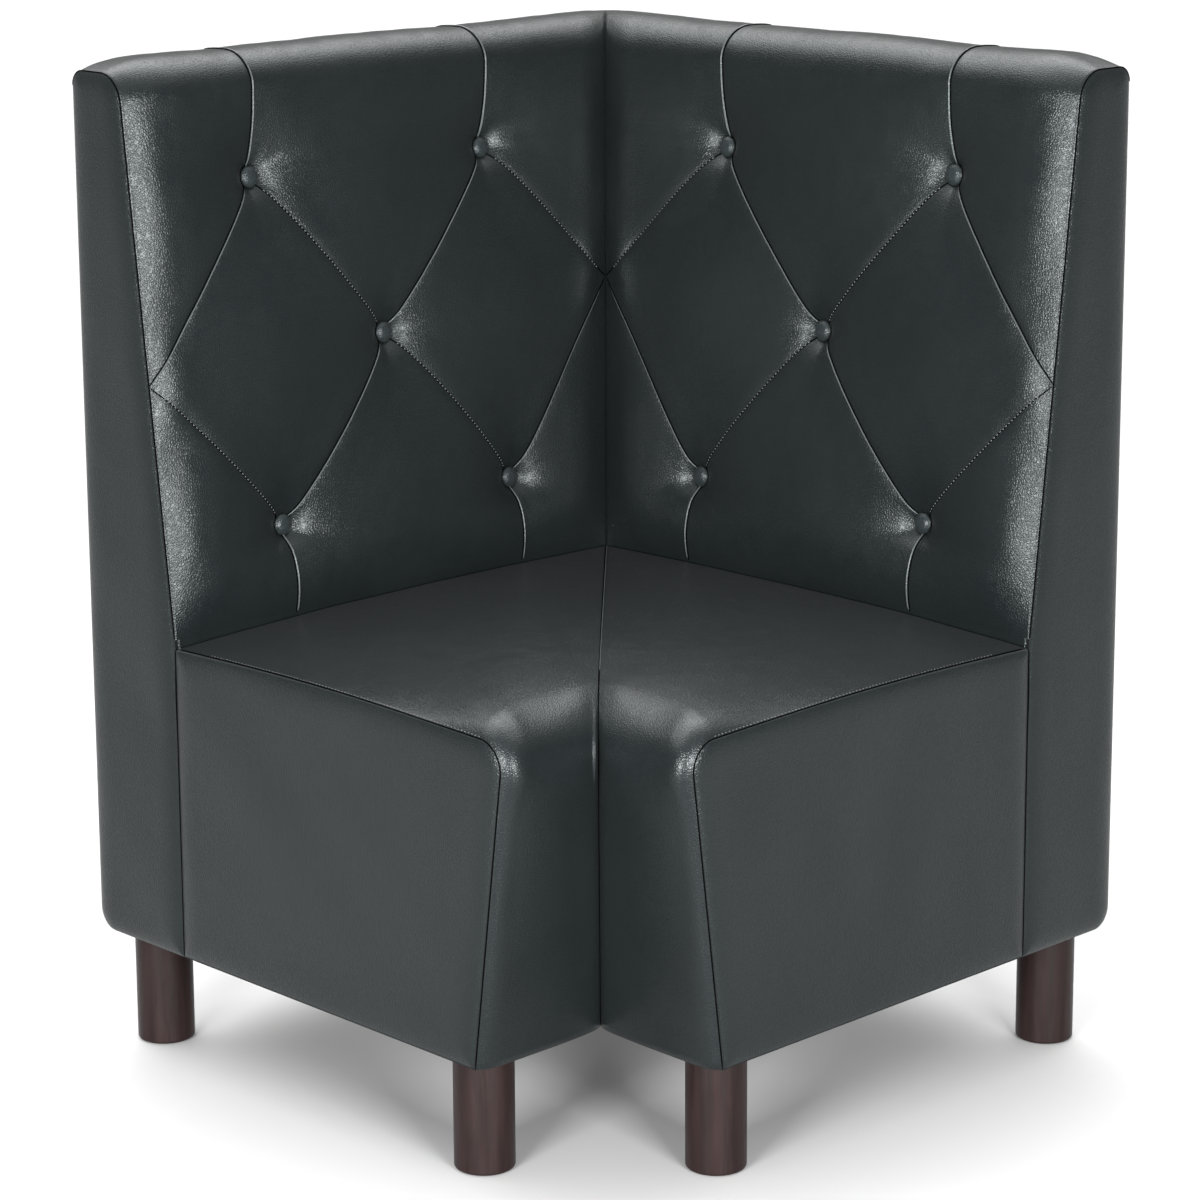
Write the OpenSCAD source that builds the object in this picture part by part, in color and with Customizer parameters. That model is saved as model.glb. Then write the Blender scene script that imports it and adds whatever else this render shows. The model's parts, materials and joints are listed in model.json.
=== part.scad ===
// Corner bench: two leaning, buttoned backs meet over a seat whose front is notched at the corner.
// In plan, u runs along one wall and v along the other, both from the outer back corner.
// Every right-hand piece is drawn along u; its left-hand partner is the same piece mirrored.

/* [Overall] */
// Length of the bench along each wall
side = 750; // [700:5:860]
// Height of the backs' crown above the floor
height = 1040; // [1010:5:1100]
// Height of the covers' lower edge above the floor
underside = 123; // [105:1:140]
// Height of the seat's side seam above the floor
seat_height = 452; // [435:1:475]

/* [Backs] */
// Thickness of a back where it meets the seat
back_low = 140; // [128:1:160]
// Thickness of a back at its shoulder
back_top = 78; // [70:1:90]
// Distance from the crown down to the shoulder
shoulder_drop = 45; // [40:1:60]
// Height of the rolled top above the end seams
crown = 13; // [6:1:18]
// Radius of the rear top edge
rear_edge_r = 16; // [8:1:18]
// Radius of the front top edge
front_edge_r = 32; // [20:1:36]
// Radius of the rear bottom edge
rear_low_r = 22; // [15:1:26]
// Depth of the groove where the two backs meet
corner_groove = 5; // [2:0.5:8]

/* [Buttoning] */
// Distance from the crown down to the top row of buttons
top_row_drop = 129; // [115:1:145]
// Distance between two rows of buttons
row_pitch = 179.5; // [165:0.5:185]
// Rise of the sewn crossing at the inner corner above the middle row
corner_cross_rise = 21; // [0:1:30]
// Drop of the sewn crossing at the end seam below the middle row
end_cross_drop = 15; // [0:1:25]
// Depth to which a button pulls the cover in
button_pull = 18; // [12:1:22]
// Height of a sewn diagonal above the button pits, halfway along
seam_rise = 26; // [18:1:30]
// Height of a puff above the sewn diagonals
puff = 8; // [4:1:12]
// Depth of the pleats that run over the top
pleat_dip = 2; // [1:0.5:6]
// Width over which a cover rises from its end seams
edge_roll = 60; // [45:5:80]
// Diameter of a covered button
button_d = 24; // [20:1:30]
// Height of a button's dome above its rim
button_dome = 5; // [3:0.5:8]
// Thickness of a button's rim
button_rim = 2.5; // [1.5:0.5:4]
// Height of a button's back above the bottom of its pit
button_seat = 7.5; // [7:0.5:10]
// Length of a button's shank
button_shank = 2; // [1:0.5:3]

/* [Seat] */
// Reach of the seat's front edge from the outer back, at seat height
seat_reach = 627; // [600:1:660]
// Reach of the seat's front from the outer back, at the underside
seat_reach_low = 583.5; // [560:0.5:610]
// Radius of the seat's front edge
seat_edge_r = 28; // [18:1:36]
// Arch of the seat's side seam
seam_arch = 5; // [0:1:8]
// Height of the seat's crown above its side seam
seat_puff = 11; // [6:1:16]
// Height of the seat's centre seam above its side seam, at the inner corner
centre_lift = 9; // [4:1:12]
// Height above the seat of the line where a back meets the cushion
crevice_rise = 8; // [5:1:10]
// Bulge of the seat's front faces
front_puff = 6; // [2:1:9]
// Thickness of the seat foam on its deck
seat_foam_t = 76; // [60:1:90]
// Thickness of the foam on the seat's front faces
apron_t = 8; // [6:0.5:12]

/* [Covers and padding] */
// Thickness of the leather covers
leather = 1.2; // [0.8:0.1:1.8]
// Thickness of the wadding under the flat side covers
wadding = 6; // [3:0.5:9]
// Thickness of the back foam, measured level
back_foam_t = 50; // [44:1:56]
// Foam height over the top rails, below the end seam
top_foam = 22; // [20:1:28]
// Width of the cover turned under the frame
turn_under = 16; // [12:1:20]

/* [Frame] */
// Thickness of the gables and ribs
ply = 18; // [15:1:21]
// Thickness of the back's face boards
face_board = 6; // [4:0.5:9]
// Thickness of the outer back boards
rear_board = 4; // [3:0.5:6]
// Thickness of the seat deck
deck_t = 15; // [12:1:18]
// Thickness of the front panels
front_ply = 12; // [9:1:14]
// Width of the rails and ledgers
rail_w = 27; // [22:1:32]
// Height of the bottom rear rails
rear_rail_h = 60; // [45:1:80]
// Height of the top rails
top_rail_h = 45; // [35:1:60]
// Height of the ledgers under the deck
ledger_h = 42; // [30:1:55]
// Width of the corner batten
batten_w = 14; // [10:1:14]
// Width of the post behind the seat's notch
post_w = 40; // [30:1:45]
// Diameter of the deck's breather holes
vent_d = 25; // [15:1:35]
// Length of the bevel on the frame's lower rear edge
rear_bevel = 20; // [16:1:24]

/* [Legs] */
// Diameter of a leg
leg_d = 60; // [50:1:64]
// Rounding of a leg's foot
foot_r = 3; // [1:0.5:5]
// Distance of an end leg's axis from the outer back and from the end
end_leg_inset = 46; // [44:1:52]
// Distance of a front leg's axis from the end
front_leg_end = 49; // [45:1:56]
// Distance of a front leg's axis behind the seat's lower front edge
front_leg_back = 41; // [38:1:48]
// Diameter of a glide
glide_d = 40; // [30:1:44]
// Thickness of a glide
glide_t = 3; // [2:0.5:4]
// Height of a glide below the foot of its leg
glide_proud = 1; // [0.5:0.5:1.5]
// Diameter of a hanger bolt
bolt_d = 8; // [6:1:10]
// Depth of a hanger bolt in its leg
bolt_in_leg = 38; // [30:1:50]
// Width of the leg blocks
block_w = 80; // [70:1:90]
// Thickness of the leg blocks
block_t = 30; // [24:1:36]

/* [Hardware] */
// Diameter of the button twine
twine_d = 2.4; // [1.6:0.2:3]
// Diameter of the washers behind the face boards
washer_d = 24; // [18:1:28]
// Thickness of those washers
washer_t = 2; // [1:0.5:3]
// Diameter of a deck screw
screw_d = 4; // [3:0.5:5]
// Length of a deck screw
screw_l = 38; // [30:1:45]

/* [Hidden] */
$fn = 48;

LEATHER = "#3f4545";
FOAM = "#e6dfb8";
WADDING = "#f2f2ee";
PLYWOOD = "#d9bf8e";
HARDBOARD = "#8a6440";
TIMBER = "#cfae78";
LEG_WOOD = "#3d2b29";
STEEL = "#b9bcc0";
CLOTH = "#1d1d1f";
TWINE = "#d8d2bf";
NYLON = "#262626";

// Clearance round soft pieces and between sewn edges
slip = 0.3;
// Wadding stops short of the seams, where the front cover dips beside them
wadding_trim = leather + slip + button_pull * wadding / 22;
// Longer than whatever it cuts through
through = 2 * height;

// Heights
cap_top = height - crown;
frame_top = cap_top - top_foam;
frame_low = underside + leather;
deck_top = seat_height - leather - seat_foam_t;
deck_low = deck_top - deck_t;

// Lean of the backs' fronts and of the seat's front faces
lean = (back_low - back_top) / (height - shoulder_drop - seat_height);
lean_angle = atan(lean);
front_slope = (seat_reach - seat_reach_low) / (seat_height - underside);
front_angle = atan(front_slope);

// Level distance from the outer back to the leaning front of a back, at height z
function back_line(z) = back_low - max(z - seat_height, 0) * lean;
// Level distance to the front of the face board, one straight line from deck to top
function board_line(z) = back_low - (z - seat_height) * lean - back_foam_t;
// Level distance from the outer back to the seat's front face, at height z
function front_line(z) = seat_reach_low + (z - underside) * front_slope;

// Faces of the frame, measured from the outer back or from the end
rear_face = leather + rear_board;
end_face = side - leather - wadding;
gable_in = end_face - ply;
rib_front = board_line(deck_top) - face_board;
panel_out = leather + apron_t;
panel_in = panel_out + front_ply;
deck_edge = front_line(deck_low) - panel_out;
rail_in = rear_face + rail_w;

// Buttons: rows by height, columns by quarters between the inner corner and the end
top_row = height - top_row_drop;
mid_row = top_row - row_pitch;
low_row = mid_row - row_pitch;
corner_ref = back_line(mid_row);
QUARTERS = 4;
quarter = (side - corner_ref) / QUARTERS;
BUTTONS = [[1, top_row], [3, top_row], [2, mid_row], [1, low_row], [3, low_row]];
function column(k) = corner_ref + k * quarter;

// Easing helpers
function mix(a, b, t) = a + (b - a) * t;
function clamp(t) = min(max(t, 0), 1);
function smooth(t) = let(c = clamp(t)) c * c * (3 - 2 * c);
// Quick rise of an upholstered edge from its seam
function roll(t) = 1 - pow(1 - clamp(t), 2.2);

// Rows of the back's section, from the rear seam over the top and down the front to the deck
CELLS = 6;
ACROSS = QUARTERS * CELLS;
ROW_TOP = 8;
ROW_MID = ROW_TOP + CELLS;
ROW_LOW = ROW_MID + CELLS;
ROW_SEAT = ROW_LOW + 2;
ROW_END = ROW_SEAT + 1;
ROW_ARC = 3;
ROW_ARC_END = 6;
// Height of the line where the back meets the seat cushion
crevice = seat_height + crevice_rise;
// The end seam crosses a straight level top; its front corner is rounded onto the lean
corner_turn = 90 - lean_angle;
arc_run = front_edge_r * tan(corner_turn / 2);
cap_depth = back_line(cap_top);
arc_u = cap_depth - arc_run;
arc_z = cap_top - front_edge_r;
arc_low = arc_z + front_edge_r * sin(lean_angle);

// Angle of the section's outward direction above level, in degrees
function back_out(row) =
    row == 0 ? 180
    : row == 1 ? 135
    : row <= ROW_ARC ? 90
    : row < ROW_ARC_END ? 90 - corner_turn * (row - ROW_ARC) / (ROW_ARC_END - ROW_ARC)
    : row < ROW_SEAT ? lean_angle
    : 0;

// Height of the middle row's line at x quarters from the inner corner
function mid_line(x) =
    x < 2 ? mix(mid_row + corner_cross_rise, mid_row, x / 2)
    : mix(mid_row, mid_row - end_cross_drop, (x - 2) / 2);

function back_height(row, x) =
    row <= ROW_TOP ? mix(arc_low, top_row, (row - ROW_ARC_END) / (ROW_TOP - ROW_ARC_END))
    : row <= ROW_MID ? mix(top_row, mid_line(x), (row - ROW_TOP) / CELLS)
    : row <= ROW_LOW ? mix(mid_line(x), low_row, (row - ROW_MID) / CELLS)
    : row <= ROW_SEAT ? mix(low_row, crevice, (row - ROW_LOW) / (ROW_SEAT - ROW_LOW))
    : deck_top + slip;

// Point of the section before tufting: [distance from the outer back, height]
function back_base(row, x) =
    let(a = back_out(row))
    row < 2 ? [rear_edge_r * (1 + cos(a)), cap_top - rear_edge_r * (1 - sin(a))]
    : row == 2 ? [rear_edge_r, cap_top]
    : row <= ROW_ARC_END ? [arc_u + front_edge_r * cos(a), arc_z + front_edge_r * sin(a)]
    : let(z = back_height(row, x)) [back_line(z), z];

// Share of a quarter over which a cover rises from its end seams
roll_share = edge_roll / quarter;

// Zero on a fold line, one halfway between two of them
function fold(x) = abs(cos(90 * x));

// The larger of two values, with the change from one to the other rounded off
function soft_max(a, b) = pow(pow(a, 6) + pow(b, 6), 1 / 6);

// Diamond tufts: pits at the buttons, sewn diagonals between them, puffs in the diamonds
function diamond(x, y) =
    let(a = fold(x + y), b = fold(x - y))
    seam_rise * pow(soft_max(a, b), 0.7) + puff * pow(a * b, 0.55) - button_pull;
relief = seam_rise + puff;

// Channels above and below the diamonds, parted by one pleat for each button column
function channel(x, full, reach, dip) =
    full - (dip + (relief - dip) * pow(1 - clamp(reach), 3)) * (1 - pow(fold(x), 0.8));

function inner_lift(row, x) =
    row <= 3 ? channel(x, crown * sin(30 * row), 1, pleat_dip * min(row, 1))
    : row < ROW_TOP ? channel(x, mix(crown, relief - button_pull, smooth((row - 3) / 4)),
        (ROW_TOP - row) / 4, pleat_dip)
    : row <= ROW_LOW ? diamond(x, (row - ROW_TOP) / CELLS)
    : row < ROW_SEAT ? channel(x, (relief - button_pull) * 0.6, (row - ROW_LOW) / 2, pleat_dip)
    : 0;

// Along the corner seam the cover rises over the top and lies in a groove down the front
function corner_lift(row) =
    row >= ROW_SEAT ? 0
    : row <= 3 ? crown * 0.85 * sin(30 * row)
    : mix(crown * 0.85, -corner_groove, smooth((row - 3) / 4))
        * (1 - 0.9 * smooth((row - ROW_TOP) / CELLS));

function back_lift(row, x) =
    mix(corner_lift(row), inner_lift(row, x) * roll((QUARTERS - x) / roll_share), roll(x / roll_share));

// Place along the wall at x quarters, for a point whose distance from the outer back is d
function back_along(x, d, end) =
    x <= 1 ? mix(d + slip / 2, column(1), pow(x, 1.25))
    : x < 3 ? column(x)
    : mix(end, column(3), pow(QUARTERS - x, 1.25));

// Ring of the back's section at x quarters, drawn in by a thickness
function back_row(row, x, end, inset) =
    let(a = back_out(row), base = back_base(row, x), out = back_lift(row, x) - inset,
        d = base[0] + out * cos(a), z = base[1] + out * sin(a))
    [back_along(x, d, end), d, z];

// Cells whose sewn diagonal falls from the far side split one way, the others the other way
function falls(i, row) =
    (floor(i / CELLS) + floor((row - ROW_TOP) / CELLS)) % 2 == 0;

// Solid through rings of points of equal count, closed by a flat strip of triangles at each end.
// A ring's front points come first, and mates gives the point behind each of them.
// Its faces are listed from the middle of its front on, where they lie well clear of its edges.
module loft(rings, splits, mates) {
    n = len(rings[0]);
    m = len(rings);
    points = [for (ring = rings) each ring];
    walls = [for (k = [0:m - 2], s = [0:n - 1])
        let(i = (k + floor(m / 2)) % (m - 1), j = (s + floor(n / 4)) % n,
            a = i * n + j, b = i * n + (j + 1) % n, c = b + n, e = a + n)
        each splits[i][j] ? [[a, b, e], [b, c, e]] : [[a, b, c], [a, c, e]]];
    strip = [for (j = [0:len(mates) - 2]) let(near = mates[j], far = mates[j + 1])
        each near == far ? [[j, j + 1, near]] : [[j, j + 1, near], [j + 1, far, near]]];
    first = [for (t = strip) [t[2], t[1], t[0]]];
    last = [for (t = strip) [for (j = t) (m - 1) * n + j]];
    polyhedron(points, concat(walls, first, last), convexity = 8);
}

// The point behind each of a cover's front points, where its inner face follows the outer one
function facing(rows) = [for (j = [0:rows - 1]) 2 * rows - 1 - j];

// Seat section, from the tail behind the cushion over the top and down the front
SEAT_ACROSS = 8;
SEAT_END = 11;
SEAT_ARC = 5;
SEAT_ARC_END = 8;
tail = back_low + slip;
tail_r = 6;
edge_turn = 90 + front_angle;
edge_run = seat_edge_r * tan(edge_turn / 2);
edge_d = seat_reach - edge_run;
edge_z = seat_height - seat_edge_r;
edge_low = edge_z - seat_edge_r * sin(front_angle);

function seat_out(row) =
    row <= 1 ? 180
    : row <= SEAT_ARC ? 90
    : row <= SEAT_ARC_END ? 90 - edge_turn * (row - SEAT_ARC) / (SEAT_ARC_END - SEAT_ARC)
    : row < SEAT_END ? -front_angle
    : 270;

function seat_base(row) =
    let(a = seat_out(row))
    row == 0 ? [tail, deck_top + slip]
    : row == 1 ? [tail, seat_height - tail_r]
    : row < SEAT_ARC ? [mix(tail + tail_r, edge_d, (row - 2) / (SEAT_ARC - 2)),
        seat_height + seam_arch * sin(180 * (row - 2) / (SEAT_ARC - 2))]
    : row <= SEAT_ARC_END ? [edge_d + seat_edge_r * cos(a), edge_z + seat_edge_r * sin(a)]
    : row == 9 ? let(z = mix(edge_low, underside, 0.5)) [front_line(z), z]
    : row == 10 ? [seat_reach_low, underside]
    : [seat_reach_low - turn_under, underside];

// Direction in which the seat's crown lifts a row
function seat_rise(row) =
    row <= SEAT_ARC ? [0, 1] : row >= 9 ? [1, 0] : [cos(seat_out(row)), sin(seat_out(row))];
// Direction in which the cover has its thickness
function seat_skin(row) =
    row == 2 ? [-0.4, 1] : row == 10 ? [1, -1] : [cos(seat_out(row)), sin(seat_out(row))];

function seat_lift(row, w) =
    row == 0 || row == SEAT_END ? 0
    : let(full = mix(seat_puff, front_puff, (row - 3) / 7),
        seam = centre_lift * clamp((7 - row) / 4))
      w < 0.5 ? mix(seam, full, roll(2 * w)) : mix(0, full, roll(2 - 2 * w));

function seat_row(row, w, end, inset) =
    let(base = seat_base(row), up = seat_lift(row, w) * seat_rise(row),
        point = base + up - inset * seat_skin(row))
    [mix(point[0] + slip / 2, end, w), point[0], point[1]];

// Plan frame: u along x, v away from the other wall, corner of the walls at the back left
module in_plan() translate([-side / 2, side / 2, 0]) mirror([0, 1, 0]) children();
module right_hand() in_plan() children();
module left_hand() in_plan() mirror([1, -1, 0]) children();

// A section [distance from the outer back, height] carried along the wall
module along(from, to) translate([from, 0, 0]) rotate([90, 0, 90]) linear_extrude(to - from) children();

// The half of the plan on this side of the corner's diagonal
module this_half() {
    far = 2 * side;
    linear_extrude(height + crown)
        polygon([[slip / 2, 0], [far, 0], [far, far - slip / 2]]);
}

// Holes for the twines
cover_hole = 1.7 * twine_d;
board_hole = 3 * twine_d;
// A hole's start edge is turned clear of the folds that meet at its button
hole_turn = 20;
module twine_hole(d) rotate(hole_turn) cylinder(d = d, h = through, center = true);

// Covers

module back_cover() {
    end = side - leather;
    rings = [for (i = [0:ACROSS]) let(x = i / CELLS) concat(
        [for (row = [0:ROW_END]) back_row(row, x, end, 0)],
        [for (row = [ROW_END:-1:0]) back_row(row, x, end, leather)])];
    splits = [for (i = [0:ACROSS - 1]) concat(
        [for (row = [0:ROW_END]) falls(i, row)],
        [for (row = [ROW_END - 1:-1:-1]) !falls(i, row)])];
    color(LEATHER) difference() {
        loft(rings, splits, facing(ROW_END + 1));
        at_buttons() twine_hole(cover_hole);
    }
}

// Outline of an end cover, or of what lies under it when drawn in by inset
function cap_outline(inset) = concat(
    [for (k = [0:6]) let(a = 270 - 15 * k, r = rear_low_r - inset)
        [rear_low_r + r * cos(a), underside + rear_low_r + r * sin(a)]],
    [for (row = [0:ROW_ARC_END]) let(a = back_out(row), p = back_base(row, QUARTERS))
        p - inset * [cos(a), sin(a)]],
    [[back_line(seat_height) - inset, seat_height], [back_low - inset, underside + inset]]);

// Outline of a seat's side cover, or of what lies under it when drawn in by inset
function side_outline(inset) = concat(
    [[back_low + inset, underside + inset], [back_low + inset, seat_height - tail_r]],
    [for (row = [2:10]) seat_base(row) - inset * seat_skin(row)]);

module end_cover() color(LEATHER) along(side - leather, side) polygon(cap_outline(0));

module side_cover() color(LEATHER) along(side - leather, side) polygon(side_outline(0));

// Strip that hangs down the outer back and turns under the frame
module rear_cover() {
    steps = 8;
    centre = [rear_low_r, underside + rear_low_r];
    top = cap_top - rear_edge_r - slip;
    outer = [for (k = [0:steps]) let(a = 180 + 90 * k / steps)
        centre + rear_low_r * [cos(a), sin(a)]];
    inner = [for (k = [steps:-1:0]) let(a = 180 + 90 * k / steps)
        centre + (rear_low_r - leather) * [cos(a), sin(a)]];
    hem = rear_low_r + turn_under;
    color(LEATHER) intersection() {
        along(0, side - leather)
            polygon(concat([[0, top]], outer, [[hem, underside], [hem, frame_low]],
                inner, [[leather, top]]));
        this_half();
    }
}

module seat_cover() {
    end = side - leather;
    rings = [for (i = [0:SEAT_ACROSS]) let(w = i / SEAT_ACROSS) concat(
        [for (row = [0:SEAT_END]) seat_row(row, w, end, 0)],
        [for (row = [SEAT_END:-1:0]) seat_row(row, w, end, leather)])];
    splits = [for (i = [0:SEAT_ACROSS - 1]) [for (j = [0:2 * SEAT_END + 1]) j > SEAT_END]];
    color(LEATHER) loft(rings, splits, facing(SEAT_END + 1));
}

// Cloth that closes the underside, one half on each side of the diagonal
module dust_cover() {
    inner = rear_low_r + turn_under + slip;
    front = seat_reach_low - turn_under - slip;
    end = side - leather - slip;
    color(CLOTH) difference() {
        translate([0, 0, underside]) linear_extrude(leather)
            polygon([[inner + slip, inner], [end, inner], [end, front], [front + slip, front]]);
        at_legs_here() cylinder(d = nut_d, h = through, center = true);
    }
}

// Padding

// Foam follows the whole cover and is then cut off short of the wadding
module up_to_wadding() intersection() {
    children();
    along(0, end_face - slip) square([side, height]);
}

module back_foam() {
    end = side - leather;
    inset = leather + slip;
    behind = [[board_line(deck_top) + slip, deck_top + slip],
        [board_line(frame_top) + slip, frame_top + slip], [inset, frame_top + slip]];
    rings = [for (i = [0:ACROSS]) let(x = i / CELLS) concat(
        [for (row = [0:ROW_END]) back_row(row, x, end, inset)],
        [for (p = behind) [back_along(x, p[0], end), p[0], p[1]]])];
    splits = [for (i = [0:ACROSS - 1]) concat(
        [for (row = [0:ROW_END]) falls(i, row)], [for (p = behind) false])];
    mates = [for (row = [0:ROW_END])
        ROW_END + (row <= ROW_ARC ? 3 : row <= ROW_MID ? 2 : 1)];
    color(FOAM) difference() {
        up_to_wadding() loft(rings, splits, mates);
        at_buttons() twine_hole(board_hole);
    }
}

module seat_foam() {
    end = side - leather;
    inset = leather + slip;
    low = frame_low + slip;
    behind = [[front_line(low) - panel_out + slip, low],
        [deck_edge + slip, deck_low], [deck_edge + slip, deck_top + slip],
        [tail + inset, deck_top + slip]];
    rings = [for (i = [0:SEAT_ACROSS]) let(w = i / SEAT_ACROSS) concat(
        [for (row = [1:10]) seat_row(row, w, end, inset)],
        [for (p = behind) [mix(p[0] + slip / 2, end, w), p[0], p[1]]])];
    splits = [for (i = [0:SEAT_ACROSS - 1]) [for (j = [0:13]) false]];
    mates = [for (row = [1:10]) row < SEAT_ARC ? 13 : row < SEAT_ARC_END ? 12 : row < 10 ? 11 : 10];
    color(FOAM) up_to_wadding() loft(rings, splits, mates);
}

module end_wadding()
    color(WADDING) along(end_face, side - leather) polygon(cap_outline(wadding_trim));

module side_wadding()
    color(WADDING) along(end_face, side - leather) polygon(side_outline(wadding_trim));

// Buttoning

// Places a child at each button, its z axis square to the leaning back, zero on the end seam's plane
module at_buttons() {
    for (b = BUTTONS)
        translate([column(b[0]), back_line(b[1]), b[1]]) rotate([lean_angle - 90, 0, 0]) children();
}

// Dome over a short rim, with a shank at the back
module buttons() {
    r = button_d / 2;
    back = button_seat - button_pull;
    ball = (r * r + button_dome * button_dome) / (2 * button_dome);
    steps = 10;
    span = asin(r / ball);
    dome = [for (k = [0:steps]) let(a = span * k / steps)
        [ball * sin(a), back + button_rim + button_dome - ball * (1 - cos(a))]];
    color(LEATHER) at_buttons() rotate_extrude()
        polygon(concat([[0, back - button_shank]], dome, [[r - 1, back], [twine_d / 2, back],
            [twine_d / 2, back - button_shank]]));
}

board_back = (back_foam_t + face_board) * cos(lean_angle);

module button_twines() {
    front = button_seat - button_pull - button_shank;
    tail_z = -board_back - washer_t;
    knot_z = tail_z - twine_d;
    color(TWINE) at_buttons() {
        translate([0, 0, knot_z]) cylinder(d = twine_d, h = front - knot_z);
        translate([0, 0, knot_z]) sphere(d = 2 * twine_d);
    }
}

module button_washers() {
    color(STEEL) at_buttons() translate([0, 0, -board_back - washer_t]) difference() {
        cylinder(d = washer_d, h = washer_t);
        cylinder(d = twine_d, h = through, center = true);
    }
}

// Frame

module face_board() {
    color(PLYWOOD) difference() {
        intersection() {
            along(0, end_face) polygon([
                [board_line(deck_top) - face_board, deck_top], [board_line(deck_top), deck_top],
                [board_line(frame_top), frame_top], [board_line(frame_top) - face_board, frame_top]]);
            this_half();
        }
        at_buttons() twine_hole(board_hole);
    }
}

module rear_board() {
    low = underside + rear_low_r;
    color(HARDBOARD) intersection() {
        along(0, end_face) polygon([[leather, low], [rear_face, low],
            [rear_face, frame_top], [leather, frame_top]]);
        this_half();
    }
}

// One panel is both the back's end and the seat's end
module end_gable() {
    color(PLYWOOD) difference() {
        along(gable_in, end_face) polygon([
            [rear_face, frame_low + rear_bevel], [rear_face + rear_bevel, frame_low],
            [front_line(frame_low) - panel_in, frame_low], [front_line(deck_low) - panel_in, deck_low],
            [rib_front, deck_low], [rib_front, deck_top],
            [board_line(frame_top) - face_board, frame_top], [rear_face, frame_top]]);
        deck_screw_bodies();
    }
}

RIBS = [column(0) + ply / 2, column(1.5), column(2.5)];

// Tapered ribs, cut out for the bottom rail and lowered for the top rail
module back_ribs() {
    rail_z = frame_top - top_rail_h;
    color(PLYWOOD) for (u = RIBS) along(u - ply / 2, u + ply / 2) polygon([
        [rear_face, frame_low + rear_rail_h], [rail_in, frame_low + rear_rail_h], [rail_in, frame_low],
        [rib_front, frame_low], [rib_front, deck_top],
        [board_line(rail_z) - face_board, rail_z], [rear_face, rail_z]]);
}

module top_rail() {
    rail_z = frame_top - top_rail_h;
    color(TIMBER) intersection() {
        along(0, gable_in) polygon([[rear_face, rail_z], [board_line(rail_z) - face_board, rail_z],
            [board_line(frame_top) - face_board, frame_top], [rear_face, frame_top]]);
        this_half();
    }
}

module rear_rail() {
    color(TIMBER) intersection() {
        along(0, gable_in) polygon([[rear_face, frame_low + rear_bevel], [rear_face + rear_bevel, frame_low],
            [rail_in, frame_low], [rail_in, frame_low + rear_rail_h], [rear_face, frame_low + rear_rail_h]]);
        this_half();
    }
}

module deck_ledger() {
    color(TIMBER) difference() {
        intersection() {
            along(0, gable_in) translate([rib_front, deck_low - ledger_h]) square([rail_w, ledger_h]);
            this_half();
        }
        deck_screw_bodies();
    }
}

module front_panel() {
    color(PLYWOOD) intersection() {
        along(0, end_face) front_strip(panel_in, panel_out);
        this_half();
    }
}

// Leaning strip between two insets behind the seat's front face
module front_strip(back, front) {
    polygon([[front_line(frame_low) - back, frame_low], [front_line(frame_low) - front, frame_low],
        [front_line(deck_low) - front, deck_low], [front_line(deck_low) - back, deck_low]]);
}

// Square post that leans both ways with the two front panels
module notch_post() {
    color(TIMBER) in_plan() intersection() {
        along(0, side) front_strip(panel_in + post_w, panel_in);
        mirror([1, -1, 0]) along(0, side) front_strip(panel_in + post_w, panel_in);
    }
}

VENTS = 3;

module seat_deck() {
    pitch = (deck_edge - rib_front) / VENTS;
    color(PLYWOOD) in_plan() difference() {
        translate([0, 0, deck_low]) linear_extrude(deck_t) polygon([
            [rib_front, rib_front], [end_face, rib_front], [end_face, deck_edge],
            [deck_edge, deck_edge], [deck_edge, end_face], [rib_front, end_face]]);
        for (i = [0:VENTS - 1], j = [0:VENTS - 1])
            translate([rib_front + pitch * (i + 0.5), rib_front + pitch * (j + 0.5), 0])
                cylinder(d = vent_d, h = through);
        deck_screw_bodies();
        mirror([1, -1, 0]) deck_screw_bodies();
    }
}

module corner_batten() {
    low = frame_low + rear_rail_h;
    color(TIMBER) in_plan() translate([rear_face, rear_face, low])
        cube([batten_w, batten_w, frame_top - top_rail_h - low]);
}

// Legs and hardware

END_LEG = [side - end_leg_inset, end_leg_inset];
FRONT_LEG = [side - front_leg_end, seat_reach_low - front_leg_back];
CORNER_LEG = [end_leg_inset, end_leg_inset];

module at(place) translate([place[0], place[1], 0]) children();

// The corner leg, and this hand's end and front legs
module at_legs_here() for (place = [END_LEG, FRONT_LEG, CORNER_LEG]) at(place) children();

module at_all_legs() {
    in_plan() at(CORNER_LEG) children();
    for (place = [END_LEG, FRONT_LEG]) {
        right_hand() at(place) children();
        left_hand() at(place) children();
    }
}

module leg() {
    r = leg_d / 2;
    color(LEG_WOOD) rotate_extrude() polygon(concat(
        [[0, glide_t], [glide_d / 2 + slip, glide_t], [glide_d / 2 + slip, glide_proud]],
        [for (k = [0:6]) let(a = 270 + 15 * k)
            [r - foot_r + foot_r * cos(a), glide_proud + foot_r + foot_r * sin(a)]],
        [[r, underside], [bolt_d / 2, underside], [bolt_d / 2, underside - bolt_in_leg],
            [0, underside - bolt_in_leg]]));
}

block_top = frame_low + block_t;
nut_barrel = 12;
nut_flange = 1.5;
nut_d = bolt_d + 2;
bolt_proud = 3;

module block(low, size) {
    difference() {
        translate([low[0], low[1], frame_low]) cube([size[0], size[1], block_t]);
        at_legs_here() {
            cylinder(d = bolt_d + 1, h = through, center = true);
            translate([0, 0, block_top - nut_barrel]) cylinder(d = nut_d, h = through);
        }
    }
}

module hand_blocks() {
    front = front_line(frame_low) - panel_in;
    block([gable_in - block_w, rail_in], [block_w, block_w]);
    block([gable_in - block_w, front - block_w], [block_w, block_w]);
}

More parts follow.
